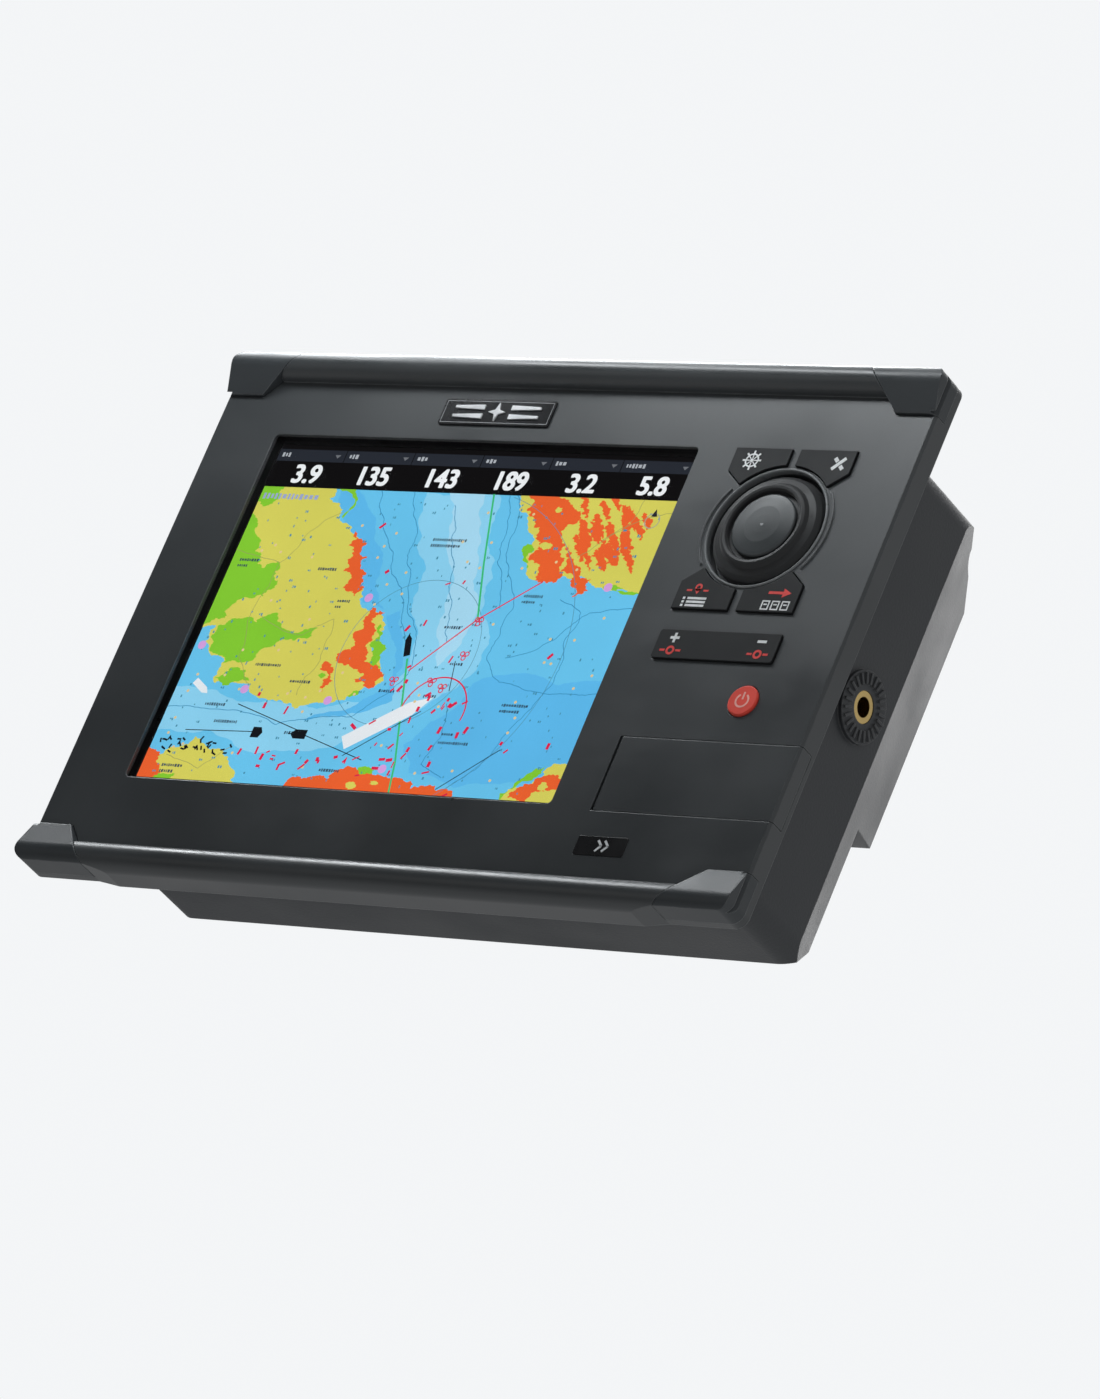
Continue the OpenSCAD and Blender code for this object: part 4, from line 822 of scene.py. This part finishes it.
def written(text, x, z, height, width, y, name, material):
    """A reading in bold upright digits, fitted to a height and a width about (x, z)."""
    curve = bpy.data.curves.new(name, "FONT")
    curve.body = text
    holder = add_object(name, curve)
    bpy.context.view_layer.update()
    mesh = bpy.data.meshes.new_from_object(holder.evaluated_get(bpy.context.evaluated_depsgraph_get()))
    bpy.data.objects.remove(holder)
    xs, zs = [v.co.x for v in mesh.vertices], [v.co.y for v in mesh.vertices]
    wide, tall = max(xs) - min(xs), max(zs) - min(zs)
    for v in mesh.vertices:
        v.co = (x + ((v.co.x - min(xs)) / wide - 0.5) * width, y,
                z + ((v.co.y - min(zs)) / tall - 0.5) * height)
    mesh.materials.clear()
    embolden(mesh, 0.035 * width)
    return link_piece(mesh, name, material, "chassis")


def embolden(mesh, shift):
    """Thickens flat digits with copies of themselves, moved a little to each side and up and down."""
    bm = bmesh.new()
    bm.from_mesh(mesh)
    original = bm.faces[:]
    for x, z in ((-1, 0), (1, 0), (-0.7, 0.6), (0.7, -0.6), (0.7, 0.6), (-0.7, -0.6)):
        copy = bmesh.ops.duplicate(bm, geom=original)["geom"]
        verts = [v for v in copy if isinstance(v, bmesh.types.BMVert)]
        bmesh.ops.translate(bm, verts=verts, vec=(x * shift, 0, z * shift))
    bm.to_mesh(mesh)
    bm.free()


def header(screen, rng):
    """The black band: a field for each reading, with a label too small to be read and an arrow above it."""
    field = screen.width / len(READINGS)
    band = [rectangle((screen.left + screen.right) / 2, screen.top - HEADER / 2, screen.width, HEADER)]
    screen.show("header_band", band, lit("header_black", (0.0045, 0.004, 0.0045)))
    strips = [rectangle(screen.left + field * (i + 0.5), screen.top - 3.2 * MM, field - 0.25 * MM, 3.5 * MM)
              for i in range(len(READINGS))]
    screen.show("header_strips", strips, lit("header_slate", (0.022, 0.026, 0.036)))
    labels, arrows = [], []
    white = lit("reading_white", (0.88, 0.9, 0.92))
    for i, (text, dashes) in enumerate(zip(READINGS, LABEL_DASHES)):
        start = screen.left + field * i
        labels += dash_rows(start + 1.4 * MM, screen.top - 3.1 * MM, dashes, rng, LABEL_HEIGHT)
        x, z = start + field - 2.4 * MM, screen.top - 3.3 * MM
        arrows.append([(x - 0.9 * MM, z + 0.5 * MM), (x + 0.9 * MM, z + 0.5 * MM), (x, z - 0.5 * MM)])
        wide = (NARROW_DIGIT if "." in text else DIGIT) * len(text) * MM
        written(text, start + field / 2 + 1.1 * MM, screen.top - READING_DROP, READING_HEIGHT, wide,
                screen.layer("readings"), f"reading_{i + 1}", white)
    screen.show("header_labels", labels, lit("label_grey", (0.45, 0.48, 0.52)))
    screen.show("header_arrows", arrows, lit("arrow_grey", (0.17, 0.18, 0.2)))
    status = dash_rows(screen.left + 1.2 * MM, screen.chart_top - 2.9 * MM, 13, rng, 1.7 * MM)
    screen.show("chart_status", status, lit("status_violet", (0.34, 0.4, 0.62)))


def north_mark(screen):
    """A ring with an arrow to the chart's north."""
    x, z = screen.at(0.957, 0.93)
    arrow = [[(x, z + 3.4 * MM), (x + 0.9 * MM, z + 1.2 * MM), (x - 0.9 * MM, z + 1.2 * MM)]]
    screen.show("chart_north_ring", ring(x, z, 2.1 * MM, 0.3 * MM, 30), lit("north_grey", (0.42, 0.42, 0.3)))
    screen.show("chart_north_arrow", arrow, lit("north_ink", (0.02, 0.02, 0.03)))


def printed_mask(screen):
    """The black border printed on the back of the glass, round the lit area."""
    x, z, width, height = front_view("cover_glass")
    across, tall = width - MASK_INSET, height - MASK_INSET
    border_x, border_z = (across - screen.width) / 2, (tall - screen.top + screen.low) / 2
    strips = [rectangle(x, z + s * (tall - border_z) / 2, across, border_z) for s in (-1, 1)]
    strips += [rectangle(x + s * (across - border_x) / 2, z, border_x, tall - 2 * border_z) for s in (-1, 1)]
    ink = surface("mask_ink", (0.006, 0.006, 0.007), 0.35, grain=0.0002, bump=0.05, bevel=0)
    flat_marks("printed_mask", strips, screen.front - MASK_GAP, ink)


def screen_module(screen):
    """The screen's own slab, which stands for the CAD panel and leaves room for the picture's layers."""
    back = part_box("lcd_panel")[1].y
    slab = flat_marks("screen_module", [rectangle(*front_view("lcd_panel"))], back, screen_polariser(),
                      thickness=back - screen.layer("screen_module"))
    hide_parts("lcd_panel")


def screen_picture():
    """The lit chart. All of it draws from one series of random numbers, so the order matters."""
    screen = Screen()
    rng = random.Random(CHART_SEED)
    screen_module(screen)
    printed_mask(screen)
    water_and_depths(screen, rng)
    depth_contours(screen, rng)
    drying_and_land(screen, rng)
    chart_roads(screen, rng)
    soundings(screen, rng)
    routes_and_marks(screen, rng)
    buoys(screen, rng)
    header(screen, rng)
    north_mark(screen)


# ---------------------------------------------------------------- marks on keys and badges

SIGN_REACH = 1.35 * MM  # half the width of a plus or a minus
SIGN_STROKE = 0.72 * MM
INK = 0.03 * MM         # how far printed marks stand off a key
INK_GAP = 0.005 * MM    # from the key's face to the back of its marks
PAPER_GAP = 0.02 * MM   # the same for the marks on the labels


def ink_on(node, body, name, marks, material):
    """Marks printed on the front of a node."""
    flat_marks(name, marks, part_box(node)[0].y - INK_GAP, material, body, thickness=INK)


def wheel_mark(x, z):
    """A ship's wheel, for the autopilot key."""
    r = 2.6 * MM
    marks = ring(x, z, r * 0.68, 0.42 * MM, 28) + [disc(x, z, r * 0.2, 14)]
    for i in range(8):
        marks.append(spoke(x, z, tau * i / 8, r * 0.24, r * 0.62, 0.3 * MM))
        marks.append(spoke(x, z, tau * i / 8, r * 0.75, r * 1.05, 0.5 * MM))
    return marks


def cross_mark(x, z):
    """One whole stroke, and the two ends of the other."""
    r, inner, stroke = 1.6 * MM, 0.35 * 1.6 * MM, 1.0 * MM
    return [bar(x - r, z - r, x + r, z + r, stroke), bar(x - r, z + r, x - inner, z + inner, stroke),
            bar(x + inner, z - inner, x + r, z - r, stroke)]


def menu_mark(x, z):
    """A list of three lines, with a dot before each."""
    lines = [rectangle(x + 0.7 * MM, z + i * MM, 5.6 * MM, 0.62 * MM) for i in (-1, 0, 1)]
    return lines + [rectangle(x - 3.1 * MM, z + i * MM, 0.7 * MM, 0.62 * MM) for i in (-1, 0, 1)]


def waypoint_mark(x, z):
    """A pin between two dashes."""
    head = ring(x, z + 0.45 * MM, 0.78 * MM, 0.55 * MM, 18)
    point = [[(x - 0.95 * MM, z + 0.1 * MM), (x + 0.95 * MM, z + 0.1 * MM), (x, z - 1.45 * MM)]]
    return head + point + [bar(x - 3.2 * MM, z - 0.4 * MM, x - 1.7 * MM, z - 0.4 * MM, 0.5 * MM),
                           bar(x + 1.7 * MM, z - 0.4 * MM, x + 3.2 * MM, z - 0.4 * MM, 0.5 * MM)]


def pages_mark(x, z):
    """Three small framed pages."""
    marks = []
    for i in (-1, 0, 1):
        middle = x + i * 2.9 * MM
        marks += [rectangle(middle, z + s * 1.12 * MM, 2.3 * MM, 0.36 * MM) for s in (-1, 1)]
        marks += [rectangle(middle + s * 0.97 * MM, z, 0.36 * MM, 1.9 * MM) for s in (-1, 1)]
        marks.append(rectangle(middle, z + 0.2 * MM, 1.0 * MM, 0.36 * MM))
    return marks


def arrow_mark(x, z):
    shaft = [bar(x - 3.2 * MM, z, x + 1.0 * MM, z, 0.75 * MM)]
    return shaft + [[(x + 1.0 * MM, z + 1.25 * MM), (x + 3.4 * MM, z), (x + 1.0 * MM, z - 1.25 * MM)]]


def minus_mark(x, z):
    return [rectangle(x, z, 2 * SIGN_REACH, SIGN_STROKE)]


def plus_mark(x, z):
    """A minus, and the parts of the upright stroke above and below it."""
    length = SIGN_REACH - SIGN_STROKE / 2
    middle = (SIGN_REACH + SIGN_STROKE / 2) / 2
    return minus_mark(x, z) + [rectangle(x, z + s * middle, SIGN_STROKE, length) for s in (-1, 1)]


def lifebuoy_mark(x, z):
    """A lifebuoy between two dashes."""
    dashes = [rectangle(x + side * 2.35 * MM, z, 1.5 * MM, 0.6 * MM) for side in (-1, 1)]
    return ring(x, z, 0.95 * MM, 0.62 * MM, 20) + dashes


def power_mark(x, z):
    return arc(x, z - 0.1 * MM, 1.75 * MM, 122, 418, 0.5 * MM, 30) + [
        bar(x, z + 0.2 * MM, x, z + 2.2 * MM, 0.5 * MM)]


# The key, its body, the mark, its place in mm from the knob's middle, its shape, and its ink.
KEY_MARKS = (
    ("autopilot_key", "autopilot_button", "autopilot_mark", (-12, 18.6), wheel_mark, "white"),
    ("exit_key", "exit_button", "exit_mark", (13.9, 18.4), cross_mark, "white"),
    ("menu_key", "menu_button", "menu_mark", (-12, -21.6), menu_mark, "white"),
    ("menu_key", "menu_button", "waypoint_mark", (-12, -18), waypoint_mark, "red"),
    ("pages_key", "pages_button", "pages_mark", (12.2, -21.6), pages_mark, "white"),
    ("pages_key", "pages_button", "goto_mark", (12.2, -18.1), arrow_mark, "red"),
    ("zoom_key", "zoom_rocker", "zoom_in_mark", (-12.9, -31.7), plus_mark, "white"),
    ("zoom_key", "zoom_rocker", "zoom_in_second_mark", (-12.9, -35.2), lifebuoy_mark, "red"),
    ("zoom_key", "zoom_rocker", "zoom_out_mark", (12.9, -31.7), minus_mark, "white"),
    ("zoom_key", "zoom_rocker", "zoom_out_second_mark", (12.9, -35.2), lifebuoy_mark, "red"),
)


def key_marks():
    x, z, _, _ = front_view("knob_cap")
    inks = {"white": printed("key_ink_white", (0.72, 0.74, 0.74)),
            "red": printed("key_ink_red", (0.72, 0.035, 0.028))}
    for key, body, name, (across, up), shape, ink in KEY_MARKS:
        ink_on(key, body, name, shape(x + across * MM, z + up * MM), inks[ink])
    x, z, _, _ = front_view("power_key")
    ink_on("power_key", "power_button", "power_mark", power_mark(x, z),
           printed("power_ink", (0.95, 0.42, 0.36)))


def corner_badge_mark():
    """Two chevrons on the small badge."""
    x, z, _, _ = front_view("corner_badge")
    marks = []
    for tip in (x + 0.2 * MM, x + 2.2 * MM):
        marks += [bar(tip - 1.4 * MM, z + s * 1.5 * MM, tip, z, 0.62 * MM) for s in (-1, 1)]
    ink_on("corner_badge", "chassis", "corner_badge_mark", marks, printed("badge_ink", (0.6, 0.62, 0.63)))


def badge_frame():
    """A thin bright line round the maker's plate, which is otherwise blank but for its emblem."""
    x, z, width, height = front_view("badge_plate")
    marks = frame_lines(x, z, width - 1.2 * MM, height - 1.2 * MM, 0.16 * MM)
    ink_on("badge_plate", "chassis", "badge_line", marks, printed("badge_line_ink", (0.3, 0.31, 0.32)))


def rating_label_lines():
    """A ruled grid and blank bars in place of the ratings on the label."""
    x, z, width, height = front_view("rating_label")
    width, height = width - 3 * MM, height - 3 * MM
    lines = frame_lines(x, z, width, height, 0.25 * MM)
    lines += [rectangle(x, z + side * height / 6, width, 0.2 * MM) for side in (-1, 1)]
    for row in range(3):
        for column in range(4):
            wide = (5.5 + 1.4 * ((row * 2 + column) % 3)) * MM
            place = x + (column - 1.5) * width / 4, z + (row - 1) * height / 3
            lines.append(rectangle(*place, wide, 1.1 * MM))
    piece = flat_marks("rating_label_lines", lines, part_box("rating_label")[1].y + PAPER_GAP,
                       printed("label_ink", (0.03, 0.03, 0.035)))
    piece.data.flip_normals()  # the label is on the back


def card_label():
    """A plain label on the chart card."""
    low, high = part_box("chart_card")
    corners = rectangle((low.x + high.x) / 2, low.y + 13 * MM, 19 * MM, 18 * MM)
    mesh = bpy.data.meshes.new("card_label")
    mesh.from_pydata([(*corner, high.z + PAPER_GAP) for corner in corners], [], [(0, 1, 2, 3)])
    link_piece(mesh, "card_label", printed("card_label_paper", (0.75, 0.77, 0.78)), "card")


# ---------------------------------------------------------------- the scene

make_camera((cad_box[0] + cad_box[1]) / 2)
make_lights()
make_floor()
dress_nodes()
screen_picture()
key_marks()
corner_badge_mark()
badge_frame()
rating_label_lines()
card_label()
